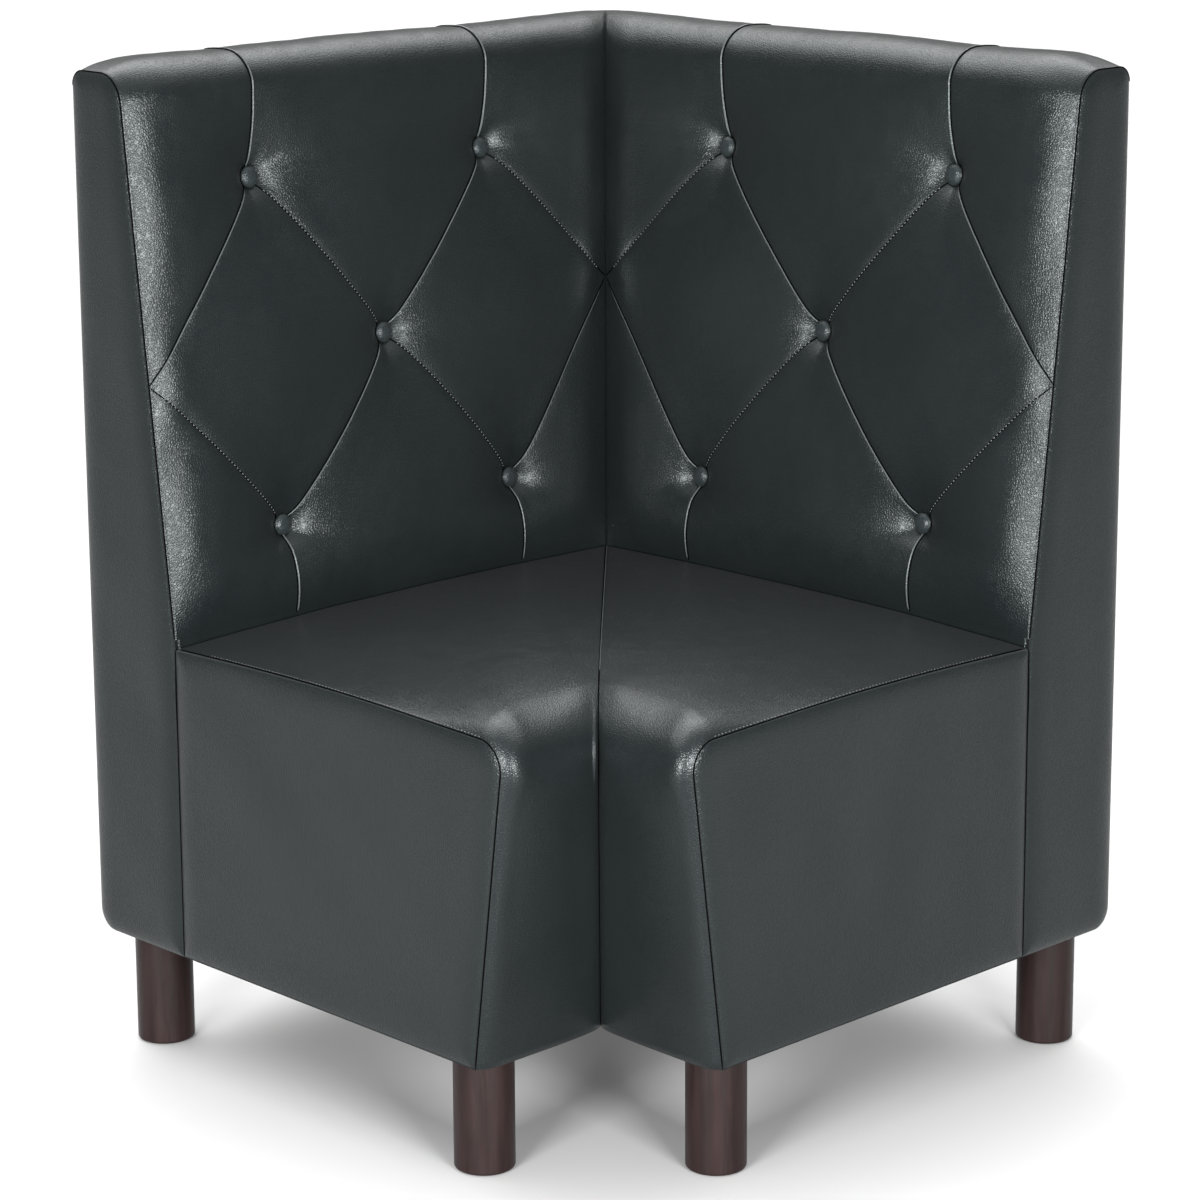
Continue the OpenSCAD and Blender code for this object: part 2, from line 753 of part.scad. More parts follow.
module leg_blocks() {
    color(TIMBER) {
        right_hand() hand_blocks();
        left_hand() hand_blocks();
        in_plan() block([rail_in, rail_in], [rib_front - rail_in, rib_front - rail_in]);
    }
}

// Wood thread in the leg, machine thread through the block and its tee nut
module hanger_bolts() {
    low = underside - bolt_in_leg;
    color(STEEL) at_all_legs() translate([0, 0, low])
        cylinder(d = bolt_d, h = block_top + nut_flange + bolt_proud - low);
}

module tee_nuts() {
    color(STEEL) at_all_legs() translate([0, 0, block_top - nut_barrel]) difference() {
        union() {
            cylinder(d = nut_d, h = nut_barrel);
            translate([0, 0, nut_barrel]) cylinder(d = 2.6 * bolt_d, h = nut_flange);
        }
        cylinder(d = bolt_d, h = through, center = true);
    }
}

module glides() {
    color(NYLON) at_all_legs() cylinder(d = glide_d, h = glide_t);
}

// Screws that hold the deck to this hand's gable and ledger
SCREWS = concat(
    [for (k = [0:2]) [gable_in + ply / 2, mix(rib_front, deck_edge, 0.2 + 0.3 * k)]],
    [for (k = [1:3]) [column(k), rib_front + rail_w / 2]]);

module deck_screw_bodies() {
    for (place = SCREWS) at(place) translate([0, 0, deck_top - screw_l]) rotate_extrude()
        polygon([[0, 0], [screw_d / 2, screw_d], [screw_d / 2, screw_l - screw_d / 2],
            [screw_d, screw_l], [0, screw_l]]);
}

module deck_screws() {
    color(STEEL) {
        right_hand() deck_screw_bodies();
        left_hand() deck_screw_bodies();
    }
}

right_hand() back_cover();  // back_cover_right
left_hand() back_cover();  // back_cover_left
right_hand() end_cover();  // end_cover_right
left_hand() end_cover();  // end_cover_left
right_hand() rear_cover();  // rear_cover_right
left_hand() rear_cover();  // rear_cover_left
right_hand() seat_cover();  // seat_cover_right
left_hand() seat_cover();  // seat_cover_left
right_hand() side_cover();  // side_cover_right
left_hand() side_cover();  // side_cover_left
right_hand() dust_cover();  // dust_cover_right
left_hand() dust_cover();  // dust_cover_left
right_hand() back_foam();  // back_foam_right
left_hand() back_foam();  // back_foam_left
right_hand() seat_foam();  // seat_foam_right
left_hand() seat_foam();  // seat_foam_left
right_hand() end_wadding();  // end_wadding_right
left_hand() end_wadding();  // end_wadding_left
right_hand() side_wadding();  // side_wadding_right
left_hand() side_wadding();  // side_wadding_left
right_hand() buttons();  // buttons_right
left_hand() buttons();  // buttons_left
right_hand() button_twines();  // button_twines_right
left_hand() button_twines();  // button_twines_left
right_hand() button_washers();  // button_washers_right
left_hand() button_washers();  // button_washers_left
right_hand() face_board();  // face_board_right
left_hand() face_board();  // face_board_left
right_hand() rear_board();  // rear_board_right
left_hand() rear_board();  // rear_board_left
right_hand() end_gable();  // end_gable_right
left_hand() end_gable();  // end_gable_left
right_hand() back_ribs();  // back_ribs_right
left_hand() back_ribs();  // back_ribs_left
right_hand() top_rail();  // top_rail_right
left_hand() top_rail();  // top_rail_left
right_hand() rear_rail();  // rear_rail_right
left_hand() rear_rail();  // rear_rail_left
right_hand() deck_ledger();  // deck_ledger_right
left_hand() deck_ledger();  // deck_ledger_left
right_hand() front_panel();  // front_panel_right
left_hand() front_panel();  // front_panel_left
seat_deck();
notch_post();
corner_batten();
leg_blocks();
right_hand() at(END_LEG) leg();  // leg_end_right
left_hand() at(END_LEG) leg();  // leg_end_left
right_hand() at(FRONT_LEG) leg();  // leg_front_right
left_hand() at(FRONT_LEG) leg();  // leg_front_left
in_plan() at(CORNER_LEG) leg();  // leg_corner
hanger_bolts();
tee_nuts();
glides();
deck_screws();
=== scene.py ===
"""Corner bench: two buttoned backs over a notched seat, dressed, lit and seen as in the photograph."""

import json
import logging
import math
from dataclasses import dataclass, field
from enum import Enum
from typing import Sequence

import bpy
import numpy as np
from mathutils import Matrix, Vector


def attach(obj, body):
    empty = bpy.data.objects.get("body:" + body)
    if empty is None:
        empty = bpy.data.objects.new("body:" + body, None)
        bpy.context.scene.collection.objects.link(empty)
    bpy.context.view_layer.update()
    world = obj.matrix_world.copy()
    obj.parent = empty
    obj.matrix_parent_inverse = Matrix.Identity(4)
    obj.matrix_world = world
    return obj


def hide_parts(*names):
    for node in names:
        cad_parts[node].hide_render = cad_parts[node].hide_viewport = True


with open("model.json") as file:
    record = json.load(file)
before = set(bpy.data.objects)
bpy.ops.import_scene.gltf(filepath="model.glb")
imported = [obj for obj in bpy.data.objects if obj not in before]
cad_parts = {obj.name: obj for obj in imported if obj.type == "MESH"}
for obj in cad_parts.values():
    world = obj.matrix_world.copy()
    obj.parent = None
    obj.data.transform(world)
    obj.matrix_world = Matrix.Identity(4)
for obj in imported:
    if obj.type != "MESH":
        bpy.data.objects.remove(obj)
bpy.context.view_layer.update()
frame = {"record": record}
log = logging.getLogger("bench")

Array = np.ndarray
MM = 0.001
SIDE = 750.0


class Hand(Enum):
    """Which of the two mirrored halves a piece belongs to."""

    RIGHT = "right"
    LEFT = "left"

    def seed(self, first: int) -> int:
        """Returns the seed of a piece's waves, which differs between the halves."""
        return first if self is Hand.RIGHT else first + 40


# Helpers for easing and placing


def clamp(t: Array) -> Array:
    """Returns t held between 0 and 1."""
    return np.clip(t, 0.0, 1.0)


def smooth(t: Array) -> Array:
    """Returns the cubic ease 3t^2 - 2t^3 of t held between 0 and 1."""
    c = clamp(t)
    return c * c * (3 - 2 * c)


def mix(a: Array, b: Array, t: Array) -> Array:
    """Returns the value that lies the share t of the way from a to b."""
    return a + (b - a) * t


def roll(t: Array) -> Array:
    """Returns the quick rise of an upholstered edge from its seam, 1 - (1 - t)^2.2."""
    return 1 - (1 - clamp(t)) ** 2.2


def curve(t: Array, places: Sequence[float], values: Sequence[float]) -> Array:
    """Smooth line through given points.

    Between two points it is a Hermite cubic whose slopes are those of the neighbouring points.

    Args:
        t: Places to read the line at.
        places: Rising places of the points.
        values: Values at the points.

    Returns:
        One value for each place.
    """
    p, v = np.asarray(places, float), np.asarray(values, float)
    slope = np.gradient(v, p)
    k = np.clip(np.searchsorted(p, t) - 1, 0, len(p) - 2)
    run = p[k + 1] - p[k]
    s = clamp((t - p[k]) / run)
    ease = 3 * s ** 2 - 2 * s ** 3
    bend = slope[k] * (s ** 3 - 2 * s ** 2 + s) + slope[k + 1] * (s ** 3 - s ** 2)
    return mix(v[k], v[k + 1], ease) + run * bend


def ladder(marks: Sequence[float], counts: Sequence[int]) -> Array:
    """Numbers that rise in even steps from each mark to the next.

    Args:
        marks: Rising numbers.
        counts: How many steps lie between each two marks.

    Returns:
        All the numbers, with each mark once.
    """
    runs = [np.linspace(a, b, count + 1)[1:] for a, b, count in zip(marks, marks[1:], counts)]
    return np.concatenate([[marks[0]], *runs])


def place(u: Array, v: Array, z: Array, hand: Hand) -> Array:
    """Puts plan lengths into the bench's frame.

    Args:
        u: Distance along the piece's own wall, in mm.
        v: Distance from the outer face of the piece's own back, in mm.
        z: Height above the floor, in mm.
        hand: The half that the piece belongs to. The left half swaps u and v.

    Returns:
        Points in metres, with x = u - side / 2 and y = side / 2 - v on the right half.
    """
    u, v, z = np.broadcast_arrays(u, v, z)
    if hand is Hand.LEFT:
        u, v = v, u
    return np.stack([u - SIDE / 2, SIDE / 2 - v, z], axis=-1) * MM


def waves(u: Array, z: Array, seed: int, pitch: float) -> Array:
    """Soft unevenness of stretched hide, between about -1 and 1.

    The value is a quarter of the sum of eight plane sine waves of random heading and phase,
    whose lengths lie between one and three pitches.

    Args:
        u: First coordinate on the surface, in mm.
        z: Second coordinate on the surface, in mm.
        seed: Seed of the headings, lengths and phases.
        pitch: Shortest wave length, in mm.

    Returns:
        One value for each point.
    """
    rng = np.random.default_rng(seed)
    total = np.zeros(np.broadcast(u, z).shape)
    for heading, length, phase in rng.uniform([0, 1, 0], [math.pi, 3, 2 * math.pi], (8, 3)):
        k = 2 * math.pi / (pitch * length)
        total += np.sin(k * (u * math.cos(heading) + z * math.sin(heading)) + phase)
    return total / 4


# Mesh building


def grid_faces(m: int, n: int, first: int = 0, ring: bool = False) -> Array:
    """Faces of a grid of m by n points, numbered row after row.

    Args:
        m: Number of rows.
        n: Number of points in a row.
        first: Number of the grid's first point.
        ring: Whether a row's last point joins its first.

    Returns:
        An array of quads.
    """
    i = np.arange(m - 1)[:, None]
    j = np.arange(n if ring else n - 1)[None, :]
    a = i * n + j
    b = i * n + (j + 1) % n
    quads = np.stack([a, b, b + n, a + n], axis=-1).reshape(-1, 4)
    return quads + first


def end_faces(m: int, n: int, first: int = 0) -> list[list[int]]:
    """Returns the two faces that close m rings of n points at both ends."""
    return [list(range(first + n - 1, first - 1, -1)), list(range(first + (m - 1) * n, first + m * n))]


def closed_rings(m: int, n: int, first: int = 0) -> list[list[int]]:
    """Returns the faces of m rings of n points each, joined in turn and closed at both ends."""
    return grid_faces(m, n, first, ring=True).tolist() + end_faces(m, n, first)


def build(name: str, points: Array, faces: Sequence) -> bpy.types.Object:
    """Makes a smooth mesh object whose place lies in its mesh, with its normals turned outwards.

    Args:
        name: The object's name.
        points: Points in metres, of any grid shape.
        faces: Lists of point numbers.

    Returns:
        The new object, linked to the scene.
    """
    mesh = bpy.data.meshes.new(name)
    mesh.from_pydata(points.reshape(-1, 3).tolist(), [], [list(map(int, f)) for f in faces])
    mesh.validate()
    mesh.update()
    if signed_volume(mesh) < 0:
        mesh.flip_normals()
    mesh.polygons.foreach_set("use_smooth", np.full(len(mesh.polygons), True))
    piece = bpy.data.objects.new(name, mesh)
    bpy.context.scene.collection.objects.link(piece)
    log.info("%s: %d points, %d faces", name, len(mesh.vertices), len(mesh.polygons))
    return piece


def spread(values: Array, places: Array, count: int) -> Array:
    """Fills a grid's first axis from known places, in straight lines, and averages it once.

    Args:
        values: Values at the known places.
        places: Rising numbers of those places, from 0 to count - 1.
        count: Number of places to fill.

    Returns:
        Values at every place, each averaged with its neighbours by 1, 2, 1.
    """
    at = np.arange(count)
    low = np.clip(np.searchsorted(places, at, side="right") - 1, 0, len(places) - 2)
    share = (at - places[low]) / (places[low + 1] - places[low])
    full = mix(values[low], values[low + 1], share[:, None, None])
    full[1:-1] = (full[:-2] + 2 * full[1:-1] + full[2:]) / 4
    return full


def every_second(count: int) -> Array:
    """Returns the even numbers below a count, and its last number."""
    return np.unique(np.append(np.arange(0, count, 2), count - 1))


@dataclass(frozen=True)
class Cloth:
    """How the covers behave in the cloth simulation."""

    quality: int = 5
    mass: float = 0.3
    bending: float = 6.0
    pressure: float = 4.0
    shrink: float = 0.004
    frames: int = 20


CLOTH = Cloth()


def run_cloth(grid: Array, held: Array) -> Array:
    """Runs a closed ring of rows as a cloth under air pressure, without gravity.

    Args:
        grid: Points in metres, rings by points round each ring.
        held: How firmly each point is held, from 0 to 1.

    Returns:
        The shift of each point in metres after the last frame.
    """
    m, k = grid.shape[:2]
    trial = build("cloth_trial", grid, closed_rings(m, k))
    group = trial.vertex_groups.new(name="held")
    levels = np.round(held, 1).ravel()
    for level in np.unique(levels):
        group.add(np.flatnonzero(levels == level).tolist(), float(level), "REPLACE")
    cloth = trial.modifiers.new("cloth", "CLOTH")
    cloth.settings.quality = CLOTH.quality
    cloth.settings.mass = CLOTH.mass
    cloth.settings.bending_stiffness = CLOTH.bending
    cloth.settings.use_pressure = True
    cloth.settings.uniform_pressure_force = CLOTH.pressure
    cloth.settings.vertex_group_mass = "held"
    cloth.settings.shrink_min = CLOTH.shrink
    cloth.settings.effector_weights.gravity = 0.0
    cloth.collision_settings.use_collision = False
    cloth.point_cache.frame_start = 1
    cloth.point_cache.frame_end = CLOTH.frames
    for step in range(1, CLOTH.frames + 1):
        bpy.context.scene.frame_set(step)
    done = trial.evaluated_get(bpy.context.evaluated_depsgraph_get())
    moved = np.empty(m * k * 3, dtype=np.float32)
    done.data.vertices.foreach_get("co", moved)
    mesh = trial.data
    bpy.data.objects.remove(trial)
    bpy.data.meshes.remove(mesh)
    bpy.context.scene.frame_set(1)
    return np.nan_to_num(moved.reshape(grid.shape) - grid)


def puffed(grid: Array, free: Array, cap: float) -> Array:
    """Cover after a cloth simulation under air pressure, as foam fills a sewn cover.

    Every second point of the grid takes part. Each point then moves free * cap *
    tanh(shift / cap) along its own shift.

    Args:
        grid: Points in metres, rings by points round each ring.
        free: Share of its shift that each point takes, none on seams and edges.
        cap: The farthest that a point may move, in metres.
    """
    m, k = grid.shape[:2]
    pick = np.ix_(every_second(m), every_second(k))
    shift = run_cloth(grid[pick], 1 - free[pick])
    shift = spread(shift, every_second(m), m)
    shift = spread(shift.swapaxes(0, 1), every_second(k), k).swapaxes(0, 1)
    length = np.linalg.norm(shift, axis=-1, keepdims=True) + 1e-9
    shift = shift * cap * np.tanh(length / cap) / length * free[..., None]
    log.info("cloth moved the cover by up to %.1f mm", np.abs(shift).max() / MM)
    return grid + shift


def signed_volume(mesh: bpy.types.Mesh) -> float:
    """Volume that a closed mesh encloses, as a sum of tetrahedra from the origin to its triangles.

    Args:
        mesh: The closed mesh.

    Returns:
        The volume in cubic metres, negative where the mesh is inside out.
    """
    mesh.calc_loop_triangles()
    count = len(mesh.loop_triangles)
    corners = np.empty(count * 3, dtype=np.int32)
    mesh.loop_triangles.foreach_get("vertices", corners)
    points = np.empty(len(mesh.vertices) * 3)
    mesh.vertices.foreach_get("co", points)
    p = points.reshape(-1, 3)[corners.reshape(-1, 3)]
    return float(np.einsum("ij,ij->i", p[:, 0], np.cross(p[:, 1], p[:, 2])).sum() / 6)


def slab(name: str, outer: Array, inner: Array) -> bpy.types.Object:
    """A thin closed piece between two surfaces on one grid, joined round their edge.

    Args:
        name: The object's name.
        outer: Points of the face that shows, m by n by 3.
        inner: Points of the face behind it, on the same grid.

    Returns:
        The new object.
    """
    m, n = outer.shape[:2]
    front = grid_faces(m, n)
    back = grid_faces(m, n, first=m * n)[:, ::-1]
    rim = np.concatenate([np.arange(n), np.arange(1, m) * n + n - 1,
                          (m - 1) * n + np.arange(n - 2, -1, -1), np.arange(m - 2, 0, -1) * n])
    ahead = np.roll(rim, -1)
    wall = np.stack([rim + m * n, ahead + m * n, ahead, rim], axis=-1)
    points = np.concatenate([outer.reshape(-1, 3), inner.reshape(-1, 3)])
    return build(name, points, np.concatenate([front, back, wall[:, ::-1]]))


def tube(name: str, paths: Sequence[Array], radius: float, sides: int = 6) -> bpy.types.Object:
    """Closed round rods along several paths, in one object.

    A ring at each path point is centre + radius * (cos(t) * side + sin(t) * up), where side and
    up stand square to the path, and the radius shrinks at both ends as on a capsule.

    Args:
        name: The object's name.
        paths: Point rows in metres, each k by 3.
        radius: The rod's radius in metres.
        sides: Number of points in a ring.

    Returns:
        The new object.
    """
    turn = np.arange(sides) * 2 * math.pi / sides
    points, faces, first = [], [], 0
    for path in paths:
        k = len(path)
        along = np.gradient(path, axis=0)
        along /= np.linalg.norm(along, axis=1, keepdims=True) + 1e-12
        lead = np.where(np.abs(along[:, 2:3]) > 0.9, [[1.0, 0.0, 0.0]], [[0.0, 0.0, 1.0]])
        side = np.cross(along, lead)
        side /= np.linalg.norm(side, axis=1, keepdims=True) + 1e-12
        up = np.cross(side, along)
        size = radius * np.sqrt(clamp(1.02 - np.abs(np.linspace(-1, 1, k)) ** max(2, k // 2)))
        rings = path[:, None, :] + size[:, None, None] * (
            np.cos(turn)[None, :, None] * side[:, None, :] + np.sin(turn)[None, :, None] * up[:, None, :])
        points.append(rings.reshape(-1, 3))
        faces += closed_rings(k, sides, first)
        first += k * sides
    return build(name, np.concatenate(points), faces)


def dashes(path: Array, length: float, gap: float) -> list[Array]:
    """Cuts a path into stitches of equal length with equal gaps, each of five points.

    Args:
        path: Points in metres, k by 3.
        length: Length of a stitch in metres.
        gap: Length of a gap in metres.

    Returns:
        One row of five points for each stitch.
    """
    steps = np.linalg.norm(np.diff(path, axis=0), axis=1)
    run = np.concatenate([[0], np.cumsum(steps)])
    starts = np.arange(gap, run[-1] - length, length + gap)
    places = starts[:, None] + np.linspace(0, length, 5)[None, :]
    cut = np.stack([np.interp(places, run, path[:, k]) for k in range(3)], axis=-1)
    return list(cut)


# Finishes


class Tree:
    """A material's node tree, with short ways to add and join nodes."""

    def __init__(self, name: str) -> None:
        """Starts a material that holds one principled shader.

        Args:
            name: The material's name.
        """
        self.material = bpy.data.materials.new(name)
        self.material.use_nodes = True
        self.nodes = self.material.node_tree.nodes
        self.links = self.material.node_tree.links
        self.shader = self.nodes["Principled BSDF"]
        self.coords = self.nodes.new("ShaderNodeTexCoord").outputs["Object"]

    def node(self, kind: str, values: dict, **settings: object) -> bpy.types.Node:
        """Adds a node and sets or joins its sockets.

        Args:
            kind: The node's type, without its ShaderNode prefix.
            values: Socket names, with a number, colour or socket for each.
            settings: Properties of the node itself.

        Returns:
            The new node.
        """
        made = self.nodes.new("ShaderNode" + kind)
        for key, value in settings.items():
            setattr(made, key, value)
        for key, value in values.items():
            if isinstance(value, bpy.types.NodeSocket):
                self.links.new(value, made.inputs[key])
            else:
                made.inputs[key].default_value = value
        return made

    def noise(self, scale: float, detail: float = 2.0, stretch: tuple | None = None) -> bpy.types.NodeSocket:
        """Adds a noise texture, on coordinates that may be stretched.

        Args:
            scale: The noise's scale.
            detail: The noise's detail.
            stretch: Scale of each coordinate, where they are stretched.

        Returns:
            The socket of the noise's height.
        """
        where = self.coords
        if stretch:
            where = self.node("Mapping", {"Vector": self.coords, "Scale": stretch}).outputs[0]
        return self.node("TexNoise", {"Vector": where, "Scale": scale, "Detail": detail}).outputs[0]

    def ramp(self, factor: bpy.types.NodeSocket, stops: Sequence[tuple]) -> bpy.types.NodeSocket:
        """Adds a colour ramp.

        Args:
            factor: The socket that the ramp reads.
            stops: Pairs of place and colour.

        Returns:
            The socket of the ramp's colour.
        """
        made = self.node("ValToRGB", {"Fac": factor})
        bar = made.color_ramp.elements
        while len(bar) < len(stops):
            bar.new(0.5)
        for element, (position, colour) in zip(bar, stops):
            element.position = position
            element.color = (*colour, 1.0)
        return made.outputs["Color"]

    def spread(self, factor: bpy.types.NodeSocket, low: float, high: float) -> bpy.types.NodeSocket:
        """Returns the factor 0.3 to 0.7 mapped to the range from low to high."""
        return self.node("MapRange", {"Value": factor, "From Min": 0.3, "From Max": 0.7,
                                      "To Min": low, "To Max": high}).outputs[0]

    def bump(self, height: bpy.types.NodeSocket, distance: float, strength: float,
             below: bpy.types.NodeSocket | None = None) -> bpy.types.NodeSocket:
        """Adds a bump, on top of another one where that is given.

        Args:
            height: The socket of the bump's height.
            distance: The bump's depth in metres.
            strength: The bump's strength.
            below: The normal of the bump under it.

        Returns:
            The socket of the new normal.
        """
        values = {"Height": height, "Distance": distance, "Strength": strength}
        if below is not None:
            values["Normal"] = below
        return self.node("Bump", values).outputs[0]

    def set(self, **values: object) -> None:
        """Sets or joins sockets of the shader.

        Args:
            values: Socket names with underscores for spaces, with a value or socket for each.
        """
        for key, value in values.items():
            socket = self.shader.inputs[key.replace("_", " ")]
            if isinstance(value, bpy.types.NodeSocket):
                self.links.new(value, socket)
            else:
                socket.default_value = value


@dataclass(frozen=True)
class Hide:
    """Faux leather with pebbled grain, fine pores and soft waves."""

    name: str
    dark: tuple[float, float, float]
    light: tuple[float, float, float]
    roughness: tuple[float, float] = (0.28, 0.34)
    pebble: float = 390.0
    pebble_bump: tuple[float, float] = (0.00038, 0.37)
    pore_bump: tuple[float, float] = (0.00012, 0.15)
    wave_bump: tuple[float, float] = (0.004, 0.10)
    # Painted shade: the colour is darkened towards crease in the valleys between pebbles, by the share
    # crease_share.
    crease: float = 0.72
    crease_share: float = 0.6
    specular: float = 0.21
    tint: tuple[float, float, float, float] = (0.93, 0.99, 1.0, 1.0)
    sheen: float = 0.014
    drift: float = 0.0012
    pores: float = 1500.0
    waves: float = 16.0

    def make(self) -> bpy.types.Material:
        """Makes voronoi pebbles and noise pores over broad waves.

        Returns:
            The new material.
        """
        tree = Tree(self.name)
        drift = tree.noise(260.0, 2.0)
        even = tree.node("CombineXYZ", {"X": drift, "Y": drift, "Z": drift}).outputs[0]
        shift = tree.node("VectorMath", {0: even, 1: (self.drift,) * 3},
                          operation="MULTIPLY").outputs[0]
        bent = tree.node("VectorMath", {0: tree.coords, 1: shift}, operation="ADD").outputs[0]
        cells = tree.node("TexVoronoi", {"Vector": bent, "Scale": self.pebble},
                          feature="DISTANCE_TO_EDGE").outputs["Distance"]
        domes = tree.node("MapRange", {"Value": cells, "From Min": 0.0, "From Max": 0.32,
                                       "To Min": 0.0, "To Max": 1.0},
                          interpolation_type="SMOOTHSTEP").outputs[0]
        pores = tree.noise(self.pores, 3.0)
        broad = tree.noise(self.waves, 3.0)
        normal = tree.bump(broad, *self.wave_bump)
        normal = tree.bump(domes, *self.pebble_bump, normal)
        normal = tree.bump(pores, *self.pore_bump, normal)
        colour = tree.ramp(tree.noise(7.0, 4.0), [(0.3, self.dark), (0.7, self.light)])
        # Painted shade in the grain: darker colour along the pebbles' edges, where the bump has its valleys.
        painted_valley_shade = tree.ramp(domes, [(0.0, (self.crease,) * 3), (0.5, (1.0, 1.0, 1.0))])
        shade = tree.node("Mix", {"Factor": self.crease_share, 6: colour, 7: painted_valley_shade},
                          data_type="RGBA", blend_type="MULTIPLY").outputs[2]
        gloss = tree.spread(tree.noise(45.0, 3.0), *self.roughness)
        tree.set(Base_Color=shade, Roughness=gloss, Normal=normal)
        tree.shader.inputs["Specular IOR Level"].default_value = self.specular
        tree.shader.inputs["Specular Tint"].default_value = self.tint
        tree.shader.inputs["Sheen Weight"].default_value = self.sheen
        return tree.material


@dataclass(frozen=True)
class Grain:
    """Wood with streaks along one axis, stained or raw."""

    name: str
    dark: tuple[float, float, float]
    light: tuple[float, float, float]
    along: tuple[float, float, float] = (1.0, 1.0, 0.07)
    streaks: float = 130.0
    roughness: tuple[float, float] = (0.35, 0.5)
    specular: float = 0.5

    def make(self) -> bpy.types.Material:
        """Makes stretched noise for streaks and finer noise for pores.

        Returns:
            The new material.
        """
        tree = Tree(self.name)
        figure = tree.noise(self.streaks, 5.0, self.along)
        pores = tree.noise(self.streaks * 6, 3.0, self.along)
        colour = tree.ramp(figure, [(0.3, self.dark), (0.72, self.light)])
        normal = tree.bump(pores, 0.0002, 0.3)
        tree.set(Base_Color=colour, Roughness=tree.spread(pores, *self.roughness), Normal=normal)
        tree.shader.inputs["Specular IOR Level"].default_value = self.specular
        return tree.material


@dataclass(frozen=True)
class Speckled:
    """Plain stuff such as foam, cloth, nylon, twine or zinc, with fine speckle and relief."""

    name: str
    dark: tuple[float, float, float]
    light: tuple[float, float, float]
    scale: float
    roughness: tuple[float, float] = (0.7, 0.9)
    depth: float = 0.0002
    metal: float = 0.0
    specular: float = 0.5

    def make(self) -> bpy.types.Material:
        """Makes one noise for colour and another for roughness and relief.

        Returns:
            The new material.
        """
        tree = Tree(self.name)
        fine = tree.noise(self.scale, 3.0)
        colour = tree.ramp(tree.noise(self.scale / 5, 3.0), [(0.3, self.dark), (0.7, self.light)])
        tree.set(Base_Color=colour, Roughness=tree.spread(fine, *self.roughness),
                 Normal=tree.bump(fine, self.depth, 0.5))
        tree.shader.inputs["Metallic"].default_value = self.metal
        tree.shader.inputs["Specular IOR Level"].default_value = self.specular
        return tree.material


FINISHES = {
    "leather": Hide("slate faux leather", (0.0031, 0.0045, 0.0048), (0.0042, 0.0058, 0.0061)),
    "thread": Speckled("grey thread", (0.06, 0.065, 0.067), (0.10, 0.105, 0.108), 900.0, (0.5, 0.7)),
    # Lighter copy of the slate leather: a painted highlight along the folded edges and the seat's centre
    # seam.
    "fold": Hide("slate leather lightened as painted highlight at folds", (0.034, 0.040, 0.041), (0.047, 0.054, 0.055)),
    # Lighter copy of the slate leather: the brighter base colour paints the stronger reflection of the taut
    # button leather.
    "button": Hide("slate button leather", (0.0085, 0.0110, 0.0116), (0.0100, 0.0130, 0.0136)),
    # Near-black, glossless finish for rods laid in the seams: painted shade where the seams fall into
    # shadow.
    "shadow": Speckled("painted seam shade", (0.0006, 0.0006, 0.0006), (0.0012, 0.0012, 0.0012), 300.0,
                       specular=0.0),
    "leg_wood": Grain("wenge stain", (0.0050, 0.0023, 0.0021), (0.0116, 0.0056, 0.0052),
                      specular=0.16),
    "nylon": Speckled("black nylon", (0.012, 0.012, 0.012), (0.022, 0.022, 0.022), 400.0,
                      (0.5, 0.7)),
    "lining": Speckled("black lining cloth", (0.008, 0.008, 0.009), (0.018, 0.018, 0.019), 1200.0),
    "foam": Speckled("cream foam", (0.62, 0.56, 0.34), (0.80, 0.74, 0.50), 700.0),
    "wadding": Speckled("white wadding", (0.72, 0.72, 0.70), (0.88, 0.88, 0.86), 300.0),
    "twine": Speckled("waxed twine", (0.50, 0.45, 0.34), (0.70, 0.65, 0.52), 1500.0),
    "plywood": Grain("birch plywood", (0.50, 0.35, 0.17), (0.72, 0.56, 0.32), (0.1, 0.1, 1.0)),
    "hardboard": Speckled("brown hardboard", (0.16, 0.08, 0.03), (0.27, 0.15, 0.07), 500.0),
    "softwood": Grain("planed softwood", (0.50, 0.33, 0.14), (0.70, 0.50, 0.26), (0.1, 1.0, 1.0)),
    "zinc_steel": Speckled("zinc plate", (0.42, 0.43, 0.46), (0.56, 0.57, 0.60), 200.0,
                           (0.3, 0.45), 0.00005, 1.0),
    "floor": Speckled("pale floor", (0.325, 0.325, 0.325), (0.335, 0.335, 0.335), 3.0, (0.6, 0.7)),
}


@dataclass
class Wardrobe:
    """Makes each finish once and puts it on pieces and carried-over nodes."""

    made: dict[str, bpy.types.Material] = field(default_factory=dict)

    def get(self, key: str) -> bpy.types.Material:
        """Finds the material of a finish, which is made at its first use.

        Args:
            key: The finish's key.

        Returns:
            The material.
        """
        if key not in self.made:
            self.made[key] = FINISHES[key].make()
        return self.made[key]

    def dress(self, piece: bpy.types.Object, key: str) -> bpy.types.Object:
        """Gives a new piece its finish and its body.

        Args:
            piece: The new object.
            key: The finish's key.

        Returns:
            The same object.
        """
        piece.data.materials.clear()
        piece.data.materials.append(self.get(key))
        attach(piece, "root")
        return piece

    def dress_nodes(self) -> None:
        """Gives every carried-over node the finish that its record slot names."""
        slots = {s["node"]: s["material_slot"] for s in frame["record"]["subparts"]}
        for node, slot in slots.items():
            carried = bpy.data.objects.get(node)
            if carried is None:
                continue
            for number in range(len(carried.material_slots)):
                carried.material_slots[number].material = self.get(slot)
            if not carried.material_slots:
                carried.data.materials.append(self.get(slot))


# Sub-assemblies


